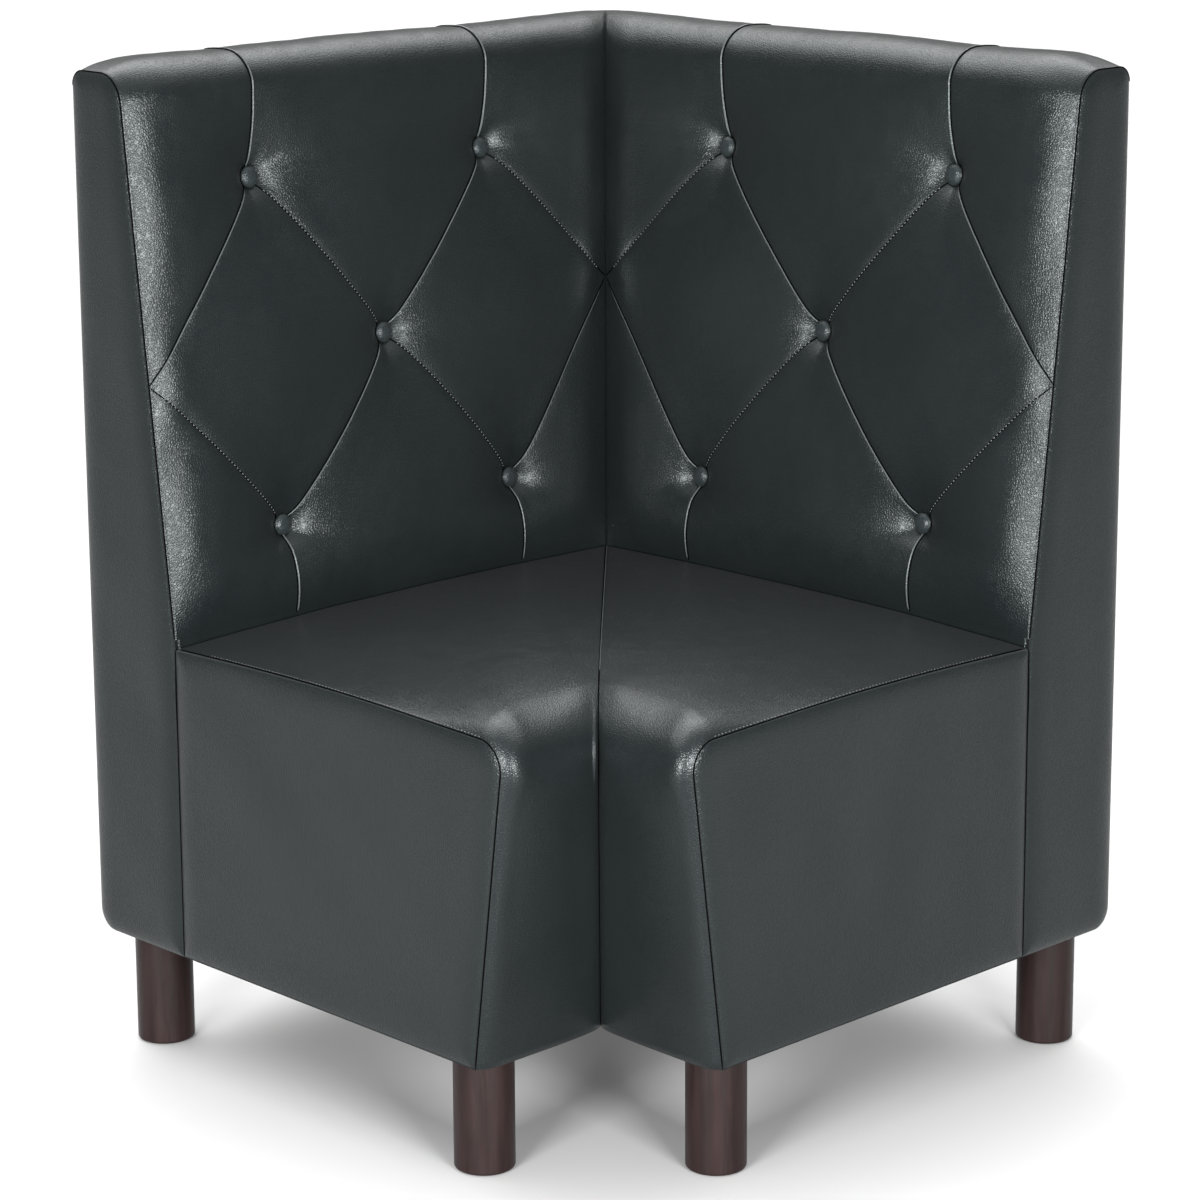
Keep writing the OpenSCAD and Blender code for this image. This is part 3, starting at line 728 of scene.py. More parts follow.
@dataclass
class Section:
    """Sizes of the backs' and the seat's cross-sections, in mm and degrees."""

    height: float = 1040.0
    underside: float = 123.0
    seat_height: float = 452.0
    back_low: float = 140.0
    back_top: float = 78.0
    shoulder_drop: float = 45.0
    crown: float = 13.0
    rear_edge_r: float = 16.0
    front_edge_r: float = 32.0
    rear_low_r: float = 22.0
    back_foam: float = 50.0
    seat_foam: float = 76.0
    frame_drop: float = 22.0
    leather: float = 1.2
    slip: float = 0.3

    def __post_init__(self) -> None:
        """Works out the lines that follow from the sizes."""
        self.cap_top = self.height - self.crown
        self.deck_top = self.seat_height - self.leather - self.seat_foam
        run = self.height - self.shoulder_drop - self.seat_height
        self.lean = (self.back_low - self.back_top) / run
        self.lean_angle = math.degrees(math.atan(self.lean))
        turn = 90 - self.lean_angle
        self.arc_u = float(self.back_line(self.cap_top)) - self.front_edge_r * math.tan(
            math.radians(turn / 2))
        self.arc_z = self.cap_top - self.front_edge_r
        self.arc_low = self.arc_z + self.front_edge_r * math.sin(math.radians(self.lean_angle))
        self.frame_top = self.cap_top - self.frame_drop

    def back_line(self, z: Array) -> Array:
        """Returns the distance from the outer back to the leaning front at a height."""
        return self.back_low - np.maximum(np.asarray(z) - self.seat_height, 0) * self.lean

    def board_line(self, z: Array) -> Array:
        """Returns the distance from the outer back to the board behind the foam."""
        return self.back_low - (np.asarray(z) - self.seat_height) * self.lean - self.back_foam


SECTION = Section()

# Sewn lines of the backs, from point to point, each in quarters of the width and rows
FLAT_LINES = [((3, 8), (2, 14)), ((2, 14), (1, 20)), ((1, 8), (0, 14)), ((4, 14), (3, 20))]
FOLDED_LINES = [((1, 8), (2, 14)), ((2, 14), (3, 20)), ((3, 8), (4, 14)), ((0, 14), (1, 20))]
LOW_PLEATS = [((1, 20), (1, 22)), ((3, 20), (3, 22))]


def folded_lines(top: float) -> list[tuple]:
    """Returns the folded diagonals and the pleats, whose upper ones begin at the row top."""
    return FOLDED_LINES + [((1, top), (1, 8)), ((3, top), (3, 8))] + LOW_PLEATS


@dataclass
class TuftedBack:
    """One buttoned back: its pad, buttons, folds and stitches.

    The pad's surface is a function of x, quarters of the way from the inner corner to the end,
    and of row, which runs from the rear seam over the top and down the front: 0 to 2 is the rear
    arc, 2 to 3 the level top, 3 to 6 the front arc, 8, 14 and 20 are the lines of buttons, 22 is
    the crevice over the seat and 23 the foot behind the seat.
    """

    hand: Hand
    top_row: float = 911.0
    row_pitch: float = 179.5
    corner_rise: float = 21.0
    end_drop: float = 15.0
    pull: float = 18.0
    pit_rise: float = 14.0
    seam_rise: float = 12.0
    puff: float = 8.0
    dimple: float = 5.0
    dimple_r: float = 14.0
    corner_fill: float = 21.0
    end_fill: float = 20.0
    end_swell: float = 1.5
    corner_crown: float = 0.85
    foot_curl: float = 2.4
    crevice_rise: float = 8.0
    pleat_dip: float = 2.0
    edge_roll: float = 70.0
    corner_roll: float = 34.0
    lip: float = 1.5
    lap: float = 2.6
    lap_sunk: float = 1.5
    button_r: float = 11.0
    button_rise: float = 7.5
    dome_foot: float = 2.8
    dome: float = 3.8
    stitch: float = 2.2
    stitch_gap: float = 2.6
    wave: float = 0.5
    wave_pitch: float = 70.0
    ripple: float = 0.16
    ripple_pitch: float = 22.0
    shade_rod_r: float = 0.75
    thread_r: float = 0.42
    cloth_cap: float = 3.0
    cells: int = 48
    seed: int = 11

    def __post_init__(self) -> None:
        """Works out rows and columns of the buttoning."""
        s = SECTION
        self.mid_row = self.top_row - self.row_pitch
        self.low_row = self.mid_row - self.row_pitch
        self.crevice = s.seat_height + self.crevice_rise
        self.ref = float(s.back_line(self.mid_row))
        self.quarter = (SIDE - self.ref) / 4
        self.relief = self.pit_rise + self.seam_rise + self.puff
        self.end = SIDE - s.leather
        self.buttons = [(1, 8), (3, 8), (2, 14), (1, 20), (3, 20)]
        self.seed = self.hand.seed(self.seed)

    def column(self, k: float) -> float:
        """Returns the place along the wall of column k."""
        return self.ref + k * self.quarter

    def fold(self, x: Array) -> Array:
        """Returns |cos(90 x)|, which is zero on a fold line and one halfway between two."""
        return np.abs(np.cos(np.pi / 2 * x))

    def diamond(self, x: Array, y: Array) -> Array:
        """Height of the diamonds: pits at buttons, seams between them, puffs inside.

        With a = fold(x + y) and b = fold(x - y), the height is a steep cone round each pit,
        1 - exp(-5.2 sqrt(a^2 + b^2)), plus a ridge (a^6 + b^6)^(0.7 / 6) between pits, plus a
        puff (a b)^0.55 between seams, each times its own size, less the pull.

        Args:
            x: Quarters from the inner corner.
            y: Rows below the upper buttons, in steps of one line of buttons.

        Returns:
            Heights over the base, in mm.
        """
        a, b = self.fold(x + y), self.fold(x - y)
        cone = 1 - np.exp(-5.2 * np.hypot(a, b))
        ridge = (a ** 6 + b ** 6) ** (0.7 / 6)
        return (self.pit_rise * cone + self.seam_rise * ridge + self.puff * (a * b) ** 0.55
                - self.pull)

    def channel(self, x: Array, full: Array, reach: Array, dip: Array) -> Array:
        """Height of the channels: full less a pleat that deepens towards a button as reach falls."""
        depth = dip + (self.relief - dip) * (1 - clamp(reach)) ** 3
        return full - depth * (1 - self.fold(x) ** 0.8)

    def mid_line(self, x: Array) -> Array:
        """Returns the middle row's height, which rises to the corner and falls to the end."""
        return np.interp(x, [0, 2, 4], [self.mid_row + self.corner_rise, self.mid_row,
                                        self.mid_row - self.end_drop])

    def out_angle(self, row: Array) -> Array:
        """Returns the angle of the section's outward direction above level, in radians."""
        lean = SECTION.lean_angle
        return np.radians(np.interp(row, [0, 2, 3, 6, 23], [180, 90, 90, lean, lean]))

    def base(self, row: Array, x: Array) -> tuple[Array, Array]:
        """Section before tufting: rear arc, level top, front arc, leaning front.

        Args:
            row: Row numbers, 0 at the rear seam to 23 behind the seat.
            x: Quarters from the inner corner.

        Returns:
            Distance from the outer back and height, in mm.
        """
        s = SECTION
        a = self.out_angle(row)
        mid = self.mid_line(x)
        z = np.select(
            [row < 8, row < 14, row < 20, row < 22],
            [mix(s.arc_low, self.top_row, (row - 6) / 2), mix(self.top_row, mid, (row - 8) / 6),
             mix(mid, self.low_row, (row - 14) / 6), mix(self.low_row, self.crevice, (row - 20) / 2)],
            mix(self.crevice, s.deck_top + s.slip, row - 22))
        d = s.back_line(z)
        r, f = s.rear_edge_r, s.front_edge_r
        rear, level, front = row < 2, row < 3, row < 6
        d = np.select([rear, level, front],
                      [r * (1 + np.cos(a)), mix(r, s.arc_u, row - 2), s.arc_u + f * np.cos(a)], d)
        z = np.select([rear, level, front],
                      [s.cap_top - r * (1 - np.sin(a)), s.cap_top + 0 * row,
                       s.arc_z + f * np.sin(a)], z)
        return d, z

    def inner_lift(self, row: Array, x: Array) -> Array:
        """Height of the cover over its base away from its two ends.

        It is the channels' height over the top and down to the upper buttons, the diamonds'
        height between the lines of buttons, and the channels' again below them, where it falls
        as 1 - t^foot_curl to the crevice.

        Args:
            row: Row numbers, 0 at the rear seam to 23 behind the seat.
            x: Quarters from the inner corner.

        Returns:
            Heights in mm.
        """
        y = (row - 8) / 6
        over = self.channel(x, self.crown_at(row), 1.0 + 0 * row, self.pleat_dip * clamp(row))
        down = self.channel(x, mix(SECTION.crown, self.relief - self.pull, smooth((row - 3) / 4)),
                            (8 - row) / 4, self.pleat_dip)
        tail = self.channel(x, (self.relief - self.pull) * (1 - clamp((row - 20) / 2) ** self.foot_curl),
                            (row - 20) / 2, self.pleat_dip * clamp(22 - row))
        tufts = self.diamond(x, y)
        lift = np.where(row <= 3, over, np.where(row < 8, down, np.where(row <= 20, tufts, tail)))
        near_top = smooth((row - 7.4) / 0.6) * (row < 8)
        near_low = smooth((20.6 - row) / 0.6) * (row > 20)
        blend = near_top + near_low
        return np.where(row >= 22, 0.0, mix(lift, tufts, blend))

    def crown_at(self, row: Array) -> Array:
        """Returns the rise of the rolled top, a sine from the rear seam to the front arc."""
        return SECTION.crown * np.sin(np.radians(30 * np.clip(row, 0, 3)))

    def corner_lift(self, row: Array) -> Array:
        """Height along the corner seam: over the top, down the corner, past the crossing.

        Args:
            row: Row numbers.

        Returns:
            Heights in mm, a sine over the top and a smooth line through given points below it.
        """
        top = SECTION.crown * self.corner_crown
        depth = curve(row, [3, 5, 8, 12, 14, 16, 20, 22], [top, 8, 7, 6, 3, -4, -4, 0])
        return np.where(row <= 3, self.crown_at(row) * self.corner_crown, depth)

    def lift(self, row: Array, x: Array) -> Array:
        """Height of the cover over its base, with both ends rolled down to their seams.

        The roll at the corner is short above the crossing and longer below it. Where seams
        cross at an end, with no button, the pit is filled again by a bell over x and row. A soft
        swell stands beside the end seam.

        Args:
            row: Row numbers, 0 at the rear seam to 23 behind the seat.
            x: Quarters from the inner corner.

        Returns:
            Heights in mm.
        """
        share = self.edge_roll / self.quarter
        corner = mix(self.corner_roll, self.edge_roll, smooth((row - 13.5) / 2)) / self.quarter
        level = (row - 14) / 6
        fill = self.corner_fill * np.exp(-(x / 0.26) ** 2 - (level / 0.30) ** 2)
        fill = fill + self.end_fill * np.exp(-((4 - x) / 0.28) ** 2 - (level / 0.28) ** 2)
        swell = self.end_swell * np.exp(-((x - 3.62) / 0.2) ** 2) * clamp(np.abs(level) * 2.5)
        swell = swell * clamp((row - 4) / 3) * clamp((21.5 - row) / 1.5)
        inner = (self.inner_lift(row, x) + fill + swell) * roll((4 - x) / share)
        return mix(self.corner_lift(row), inner, roll(x / corner))

    def along(self, x: Array, d: Array) -> Array:
        """Place along the wall, from the mitre at x = 0 to the end seam at x = 4.

        Args:
            x: Quarters from the inner corner.
            d: Distances from the outer back, in mm.

        Returns:
            Places in mm, which near the mitre lean with the distance.
        """
        near = mix(d + SECTION.slip / 2, self.column(1), clamp(x))
        far = mix(self.end, self.column(3), clamp(4 - x))
        return np.select([x <= 1, x < 3], [near, self.ref + x * self.quarter], far)

    def wrinkle(self, row: Array, x: Array) -> Array:
        """Small relief: soft waves all over, a dimple and a few rays round each button.

        With r the distance from a button in mm, the dimple is dimple * exp(-(r / dimple_r)^2)
        deep, and the rays are sines of the angle round the button under a bell
        exp(-((r - 24) / 11)^2).

        Args:
            row: Row numbers, 0 at the rear seam to 23 behind the seat.
            x: Quarters from the inner corner.

        Returns:
            Heights in mm, which fade to nothing at the seams.
        """
        d, z = self.base(row, x)
        u = self.along(x, d)
        relief = (self.wave * waves(u, z, self.seed, self.wave_pitch)
                  + self.ripple * waves(u, z, self.seed + 1, self.ripple_pitch))
        for column, line in self.buttons:
            bd, bz = self.base(np.float64(line), np.float64(column))
            du, dz = u - self.column(column), z - bz
            far = np.hypot(du, dz)
            theta = np.arctan2(dz, du)
            relief = relief - self.dimple * np.exp(-(far / self.dimple_r) ** 2)
            rays = np.sin(7 * theta + 1.3 * column) + 0.6 * np.sin(11 * theta + line)
            relief = relief + 0.18 * rays * np.exp(-((far - 24) / 11) ** 2)
        fade = clamp((4 - x) / 0.08) * clamp(x / 0.08) * clamp(row / 0.5) * clamp((22 - row) / 0.5)
        return relief * fade

    def surface(self, row: Array, x: Array, raise_by: Array | float = 0.0) -> Array:
        """Points of the cover: base + (lift + relief) * outward direction.

        Args:
            row: Row numbers, 0 at the rear seam to 23 behind the seat.
            x: Quarters from the inner corner.
            raise_by: Extra height over the cover, in mm.

        Returns:
            Points in metres.
        """
        row, x = np.broadcast_arrays(np.asarray(row, float), np.asarray(x, float))
        a = self.out_angle(row)
        d, z = self.base(row, x)
        out = self.lift(row, x) + self.wrinkle(row, x) + raise_by
        d, z = d + out * np.cos(a), z + out * np.sin(a)
        return place(self.along(x, d), d, z, self.hand)

    def free(self, row: Array, x: Array) -> Array:
        """Share of the cloth's shift that the cover takes: none on seams, buttons and edges.

        Among the diamonds it rises with the product of the distances from both seams, and above
        and below them with the distance from the pleats.

        Args:
            row: Row numbers, 0 at the rear seam to 23 behind the seat.
            x: Quarters from the inner corner.

        Returns:
            Shares from 0 to 1.
        """
        y = (row - 8) / 6
        tufts = np.sqrt(self.fold(x + y) * self.fold(x - y))
        share = np.where((row >= 8) & (row <= 20), tufts, self.fold(x))
        edges = clamp(x / 0.3) * clamp((4 - x) / 0.3) * clamp((row - 3) / 3)
        return smooth(clamp(1.5 * share)) * edges * clamp((21.5 - row) / 1.5)

    def pad(self) -> bpy.types.Object:
        """Closed pad: the cover on a fine grid whose cells split along the seams, and its back.

        Returns:
            The new object.
        """
        n = self.cells
        x = np.linspace(0, 4, 4 * n + 1)
        row = ladder([0, 2, 3, 6, 8, 20, 22, 23], [8, 8, 18, 24, 2 * n, 24, 6])
        front = self.surface(row[None, :], x[:, None])
        s = SECTION
        behind = [(s.board_line(s.deck_top) + s.slip, s.deck_top + s.slip),
                  (s.board_line(s.frame_top) + s.slip, s.frame_top + s.slip),
                  (s.leather + s.slip, s.frame_top + s.slip)]
        back = np.stack([place(self.along(x, np.float64(d)), d, z, self.hand) for d, z in behind], axis=1)
        rings = np.concatenate([front, back], axis=1)
        free = np.zeros(rings.shape[:2])
        free[:, :len(row)] = self.free(row[None, :], x[:, None])
        rings = puffed(rings, free, self.cloth_cap * MM)
        m, k = rings.shape[:2]
        quads = grid_faces(m, k, ring=True)
        i, j = np.divmod(np.arange(len(quads)), k)
        level = (row[np.minimum(j, len(row) - 1)] - 8) / 6
        falls = (np.floor(i / n + 1e-9) + np.floor(level + 1e-9)) % 2 == 0
        a, b, c, e = quads.T
        one = np.where(falls[:, None], np.stack([a, b, e], 1), np.stack([a, b, c], 1))
        two = np.where(falls[:, None], np.stack([b, c, e], 1), np.stack([a, c, e], 1))
        faces = np.concatenate([one, two]).tolist() + end_faces(m, k)
        return build(f"back_pad_{self.hand.value}", rings, faces)

    def seam(self, start: tuple, stop: tuple, count: int, raise_by: float = 0.0,
             trim: float = 0.0) -> Array:
        """Points along a straight seam in x and row, drawn back from both ends by a share."""
        t = np.linspace(trim, 1 - trim, count)
        return self.surface(mix(start[1], stop[1], t), mix(start[0], stop[0], t), raise_by)

    def caps(self) -> bpy.types.Object:
        """Covered buttons: a dome turned about each pit's axis, with a pinched rim.

        With s the share of the button's radius, the dome's profile is dome_foot + dome *
        (1 - s^3.2) over the button's seat, and five rings under it turn the rim in.

        Returns:
            The new object.
        """
        lean = math.radians(SECTION.lean_angle)
        turn = np.linspace(0, 2 * math.pi, 48, endpoint=False)
        share = np.concatenate([[0.0, 0.62, 0.9, 0.99, 1.0], np.linspace(1.0, 0.0, 15)[1:-1] ** 0.8])
        lower = np.arange(len(share)) < 5
        tall = np.where(lower, [0, 0, 0.5, 1.4, 2.5] + [0] * (len(share) - 5),
                        self.dome_foot + self.dome * (1 - share ** 3.2))
        points, faces, first = [], [], 0
        for column, line in self.buttons:
            bd, bz = self.base(np.float64(line), np.float64(column))
            ray = self.button_r * share[:, None] * (1 + 0.012 * np.sin(9 * turn + column)[None, :])
            up = tall[:, None] + self.button_rise - self.pull + 0 * turn[None, :]
            du, dw = ray * np.cos(turn), ray * np.sin(turn)
            d = bd + up * math.cos(lean) - dw * math.sin(lean)
            z = bz + up * math.sin(lean) + dw * math.cos(lean)
            ring = place(self.column(column) + du, d, z, self.hand)[1:]
            peak = tall.max() + self.button_rise - self.pull
            tip = place(self.column(column), bd + peak * math.cos(lean), bz + peak * math.sin(lean),
                        self.hand)
            k, n = ring.shape[:2]
            points += [ring.reshape(-1, 3), tip.reshape(1, 3)]
            faces += grid_faces(k, n, first, ring=True).tolist()
            faces.append(list(range(first + n - 1, first - 1, -1)))
            last = first + (k - 1) * n
            top = first + k * n
            faces += [[last + q, last + (q + 1) % n, top] for q in range(n)]
            first += k * n + 1
        return build(f"button_caps_{self.hand.value}", np.concatenate(points), faces)

    def laps(self) -> bpy.types.Object:
        """Folded edges: a low strip beside each fold and pleat, with a round lip at the seam.

        The strip lies on the side of the inner corner. Its height over the cover rises from the
        seam to the lip in an even slope and then falls to nothing, and its underside lies in
        the cover.

        Returns:
            The new object.
        """
        t = np.array([0.0, 0.04, 0.2, 0.36, 0.5, 0.58, 0.75, 1.0])
        lip = np.array([0.0, 0.1, 0.42, 0.74, 0.97, 1.0, 0.6, 0.0])
        across = -np.concatenate([0.1 + self.lap * t, 0.1 + self.lap * t[::-1]])
        high = np.concatenate([self.lip * lip - 0.2 * t, -self.lap_sunk + 0 * t])
        points, faces, first = [], [], 0
        for start, stop in folded_lines(0.4):
            p = np.linspace(0.055, 0.985, 110)
            taper = np.sqrt(clamp(np.minimum(p - 0.05, 1 - p) / 0.06))
            x = mix(start[0], stop[0], p)[:, None] + across[None, :] / self.quarter * taper[:, None]
            row = mix(start[1], stop[1], p)[:, None] + 0 * across[None, :]
            ring = self.surface(row, np.clip(x, 0.001, 3.999), high[None, :] * taper[:, None])
            k, n = ring.shape[:2]
            points.append(ring.reshape(-1, 3))
            faces += closed_rings(k, n, first)
            first += k * n
        return build(f"painted_highlight_folded_edges_{self.hand.value}", np.concatenate(points), faces)

    def stitches(self) -> bpy.types.Object:
        """Thread along the diagonals that lie flat.

        Returns:
            The new object.
        """
        runs = []
        for start, stop in FLAT_LINES:
            path = self.seam(start, stop, 300, 0.9, 0.07)
            runs += dashes(path, self.stitch * MM, self.stitch_gap * MM)
        return tube(f"back_stitches_{self.hand.value}", runs, self.thread_r * MM)

    def gaps(self) -> bpy.types.Object:
        """Rods for the painted shade in every sewn line, beside the lip where the line is folded.

        Returns:
            The new object.
        """
        paths = [self.seam(a, b, 120, 0.15, 0.004) for a, b in FLAT_LINES]
        t = np.linspace(0.004, 0.996, 120)
        for start, stop in folded_lines(0.3):
            x = mix(start[0], stop[0], t) + 0.6 / self.quarter * clamp((1 - t) / 0.02)
            paths.append(self.surface(mix(start[1], stop[1], t), np.clip(x, 0, 4), 0.4))
        return tube(f"painted_seam_shade_{self.hand.value}", paths, self.shade_rod_r * MM)

    def make(self, wardrobe: Wardrobe) -> None:
        """Args:
            wardrobe: The finishes.
        """
        h = self.hand.value
        pad = wardrobe.dress(self.pad(), "leather")
        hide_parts(f"back_cover_{h}", f"back_foam_{h}")
        # The caps take the lighter button finish, a painted reflection.
        caps = wardrobe.dress(self.caps(), "button")
        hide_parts(f"buttons_{h}")
        # The folded edges take the lighter fold finish, a painted highlight along each fold and pleat.
        wardrobe.dress(self.laps(), "fold")
        wardrobe.dress(self.stitches(), "thread")
        # Painted shade: near-black rods along every sewn line of the back.
        wardrobe.dress(self.gaps(), "shadow")


@dataclass
class NotchedSeat:
    """One half of the seat: its pad from the centre seam to the side seam, and its stitches.

    The pad's surface is a function of w, the share of the way from the centre seam to the side
    seam, and of row: 0 to 1 is the tail behind the cushion, 1 to 2 its rear arc, 2 to 5 the top,
    5 to 8 the front arc, 8 to 10 the front face and 10 to 11 the hem turned under.
    """

    hand: Hand
    reach: float = 627.0
    reach_low: float = 583.5
    edge_r: float = 28.0
    soft_r: float = 48.0
    cloth_cap: float = 3.0
    pinch: float = 4.6
    arch: float = 5.0
    notch_ridge: float = 4.2
    panel_board: float = 20.0
    tail_r: float = 6.0
    turn_under: float = 16.0
    wave: float = 0.7
    wave_pitch: float = 90.0
    stitch: float = 2.4
    thread_r: float = 0.3
    shade_rod_r: float = 0.7
    fold_r: float = 0.55
    seed: int = 23

    def __post_init__(self) -> None:
        """Works out the section's lines."""
        s = SECTION
        self.slope = (self.reach - self.reach_low) / (s.seat_height - s.underside)
        self.angle = math.degrees(math.atan(self.slope))
        self.tail = s.back_low + s.slip
        self.end = SIDE - s.leather
        self.seed = self.hand.seed(self.seed)

    def front_line(self, z: Array) -> Array:
        """Returns the distance from the outer back to the seat's leaning front at a height."""
        return self.reach_low + (np.asarray(z) - SECTION.underside) * self.slope

    def front_arc(self, w: Array | float) -> tuple[Array, Array, Array, Array]:
        """The arc of the front edge, which touches the level top and the leaning front.

        Args:
            w: Share of the way from the centre seam to the side seam.

        Returns:
            The arc's radius, its centre's distance and height, and the height of its lower end.
            The radius is small at the side seam and wide from the middle of the half inwards.
        """
        radius = mix(self.edge_r, self.soft_r, roll((1 - np.asarray(w)) * 1.5))
        far = self.reach - radius * math.tan(math.radians((90 + self.angle) / 2))
        high = SECTION.seat_height - radius
        return radius, far, high, high - radius * math.sin(math.radians(self.angle))

    def base(self, row: Array, w: Array | float = 1.0) -> tuple[Array, Array]:
        """Section without crown: tail, arched top, front arc, leaning front, hem turned under.

        Args:
            row: Row numbers, 0 behind the cushion to 11 under the frame.
            w: Share of the way from the centre seam to the side seam.

        Returns:
            Distance from the outer back and height, in mm.
        """
        s = SECTION
        radius, far, high, foot = self.front_arc(w)
        a = np.radians(np.interp(row, [1, 2, 5, 8], [180, 90, 90, -self.angle]))
        top_z = s.seat_height + self.arch * np.sin(np.pi * clamp((row - 2) / 3))
        low_z = mix(foot, s.underside, (row - 8) / 2)
        cases = [row < 1, row < 2, row < 5, row < 8, row <= 10]
        d = np.select(cases, [
            self.tail + 0 * row, self.tail + self.tail_r * (1 + np.cos(a)),
            mix(self.tail + self.tail_r, far, (row - 2) / 3),
            far + radius * np.cos(a), self.front_line(low_z)],
            self.reach_low - self.turn_under * (row - 10))
        z = np.select(cases, [
            mix(s.deck_top + s.slip, s.seat_height - self.tail_r, row),
            s.seat_height - self.tail_r * (1 - np.sin(a)), top_z,
            high + radius * np.sin(a), low_z], s.underside + 0 * row)
        return d, z

    def lift(self, row: Array, w: Array) -> Array:
        """Crown: from the centre seam's height up to the full puff and down to the side seam.

        Both heights are smooth lines over s, the length in mm along the section from the middle
        of the front edge. Beside the side seam the cover turns over a small radius, and beside
        the notch's seam the left half keeps a short upright fold.

        Args:
            row: Row numbers, 0 behind the cushion to 11 under the frame.
            w: Share of the way from the centre seam to the side seam.

        Returns:
            Heights over the base, in mm.
        """
        radius, far, _, foot = self.front_arc(w)
        half = radius * math.radians(90 + self.angle) / 2
        s = np.select([row < 5, row < 8], [
            (row - 5) / 3 * (far - self.tail) - half, ((row - 5) / 1.5 - 1) * half],
            (row - 8) / 2 * (foot - SECTION.underside) + half)
        full = curve(s, [-477, -250, -110, -50, 0, 45, 110, 328], [8, 12, 17, 18, 14, 7, 4, 4])
        seam = curve(s, [-477, -300, -110, -50, 0, 45, 130, 328], [4, 8, 14, 14, 10, 2, 0, 0])
        steep = mix(2.0, 3.6, smooth((row - 3.6) / 1.4)) + 2.2 * smooth((s + 10) / 60)
        rise = np.where(w < 0.5, mix(seam, full, roll(2 * w)), full * roll((1 - w) * steep))
        near = clamp((row - 3) / 2) * self.pinch
        edge = near * (1 - np.exp(-(1 - w) / 0.032)) - near * np.exp(-w / 0.02) * smooth((s + 5) / 40)
        fold = np.exp(-((w - 0.024) / 0.021) ** 2 - ((s - 24) / 25) ** 2)
        ridge = self.notch_ridge * fold if self.hand is Hand.LEFT else 0.0
        return (rise + edge + ridge) * clamp(row) * clamp(11 - row)

    def surface(self, row: Array, w: Array, raise_by: float = 0.0) -> Array:
        """Points of the cover: base + (crown + waves) along the row's rising direction.

        Args:
            row: Row numbers, 0 behind the cushion to 11 under the frame.
            w: Share of the way from the centre seam to the side seam.
            raise_by: Extra height over the cover, in mm.

        Returns:
            Points in metres.
        """
        row, w = np.broadcast_arrays(np.asarray(row, float), np.asarray(w, float))
        d, z = self.base(row, w)
        a = np.radians(np.interp(row, [5, 8, 9], [90, -self.angle, 0]))
        out = self.lift(row, w) + raise_by
        fade = clamp(np.minimum(w, 1 - w) / 0.05) * clamp(row - 1) * clamp(10.5 - row)
        out = out + self.wave * waves(mix(d, self.end, w), d + z, self.seed, self.wave_pitch) * fade
        d, z = d + out * np.cos(a), z + out * np.sin(a)
        return place(mix(d + SECTION.slip / 2, self.end, w), d, z, self.hand)

    def rows(self) -> Array:
        """Returns the row numbers of the pad's grid, dense round the front edge."""
        return ladder([0, 1, 2, 5, 8, 10, 11], [2, 6, 48, 30, 40, 3])

    def pad(self) -> bpy.types.Object:
        """Closed pad: the cover on a fine grid, with the foam's flat underside behind it.

        The grid's columns lie closest together beside the two seams: their places follow a half
        cosine wave, flattened in the middle.

        Returns:
            The new object.
        """
        s = SECTION
        swing = np.cos(np.pi * np.linspace(0, 1, 81))
        w = 0.5 - 0.5 * swing * (0.35 + 0.65 * np.abs(swing) ** 0.15)
        w = np.clip((w - w[0]) / (w[-1] - w[0]), 0, 1)
        front = self.surface(self.rows()[None, :], w[:, None])
        low = s.underside + s.leather + s.slip
        inset = s.leather + self.panel_board + s.slip
        behind = [(self.front_line(low) - inset, low), (self.front_line(s.deck_top) - inset, s.deck_top),
                  (self.tail + s.leather + s.slip, s.deck_top + s.slip)]
        back = np.stack([place(mix(d + s.slip / 2, self.end, w), np.float64(d), np.float64(z), self.hand)
                         for d, z in behind], axis=1)
        rings = np.concatenate([front, back], axis=1)
        free = np.zeros(rings.shape[:2])
        row, share = self.rows()[None, :], smooth(clamp(w / 0.4)) * smooth(clamp((1 - w) / 0.2))
        free[:, :row.size] = share[:, None] * clamp(row - 2) * clamp(10 - row)
        rings = puffed(rings, free, self.cloth_cap * MM)
        return build(f"seat_pad_{self.hand.value}", rings, closed_rings(*rings.shape[:2]))

    def stitches(self) -> bpy.types.Object:
        """Thread beside the top of the side seam, in stitches as long as their gaps.

        Returns:
            The new object.
        """
        rows = np.linspace(2.3, 5.0, 500)
        path = self.surface(rows, np.full_like(rows, 0.994), 0.1)
        runs = dashes(path, self.stitch * MM, self.stitch * MM)
        return tube(f"seat_stitches_{self.hand.value}", runs, self.thread_r * MM)

    def gap(self) -> bpy.types.Object:
        """Rod for the painted shade along this half's side of the centre seam.

        On the right half it begins where the folded edge of the top, lightened as a painted highlight, ends.

        Returns:
            The new object.
        """
        rows = ladder([1.6, 5, 8, 10], [59, 39, 39])
        if self.hand is Hand.RIGHT:
            rows = rows[rows > 4.6]
        path = self.surface(rows, np.full_like(rows, 0.001), -0.2)
        return tube(f"painted_centre_seam_shade_{self.hand.value}", [path], self.shade_rod_r * MM)

    def folded_edge(self) -> bpy.types.Object:
        """Narrow round edge of the right half's cover along the centre seam's top.

        Returns:
            The new object.
        """
        rows = np.linspace(1.6, 4.9, 70)
        path = self.surface(rows, np.full_like(rows, 0.0015), 0.1)
        return tube(f"painted_highlight_seat_fold_{self.hand.value}", [path], self.fold_r * MM)

    def make(self, wardrobe: Wardrobe) -> None:
        """Args:
            wardrobe: The finishes.
        """
        h = self.hand.value
        pad = wardrobe.dress(self.pad(), "leather")
        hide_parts(f"seat_cover_{h}", f"seat_foam_{h}")
        wardrobe.dress(self.stitches(), "thread")
        # Painted shade: a near-black rod in the centre seam.
        wardrobe.dress(self.gap(), "shadow")
        if self.hand is Hand.RIGHT:
            # Painted highlight: the right half's folded edge in the lighter fold finish.
            wardrobe.dress(self.folded_edge(), "fold")


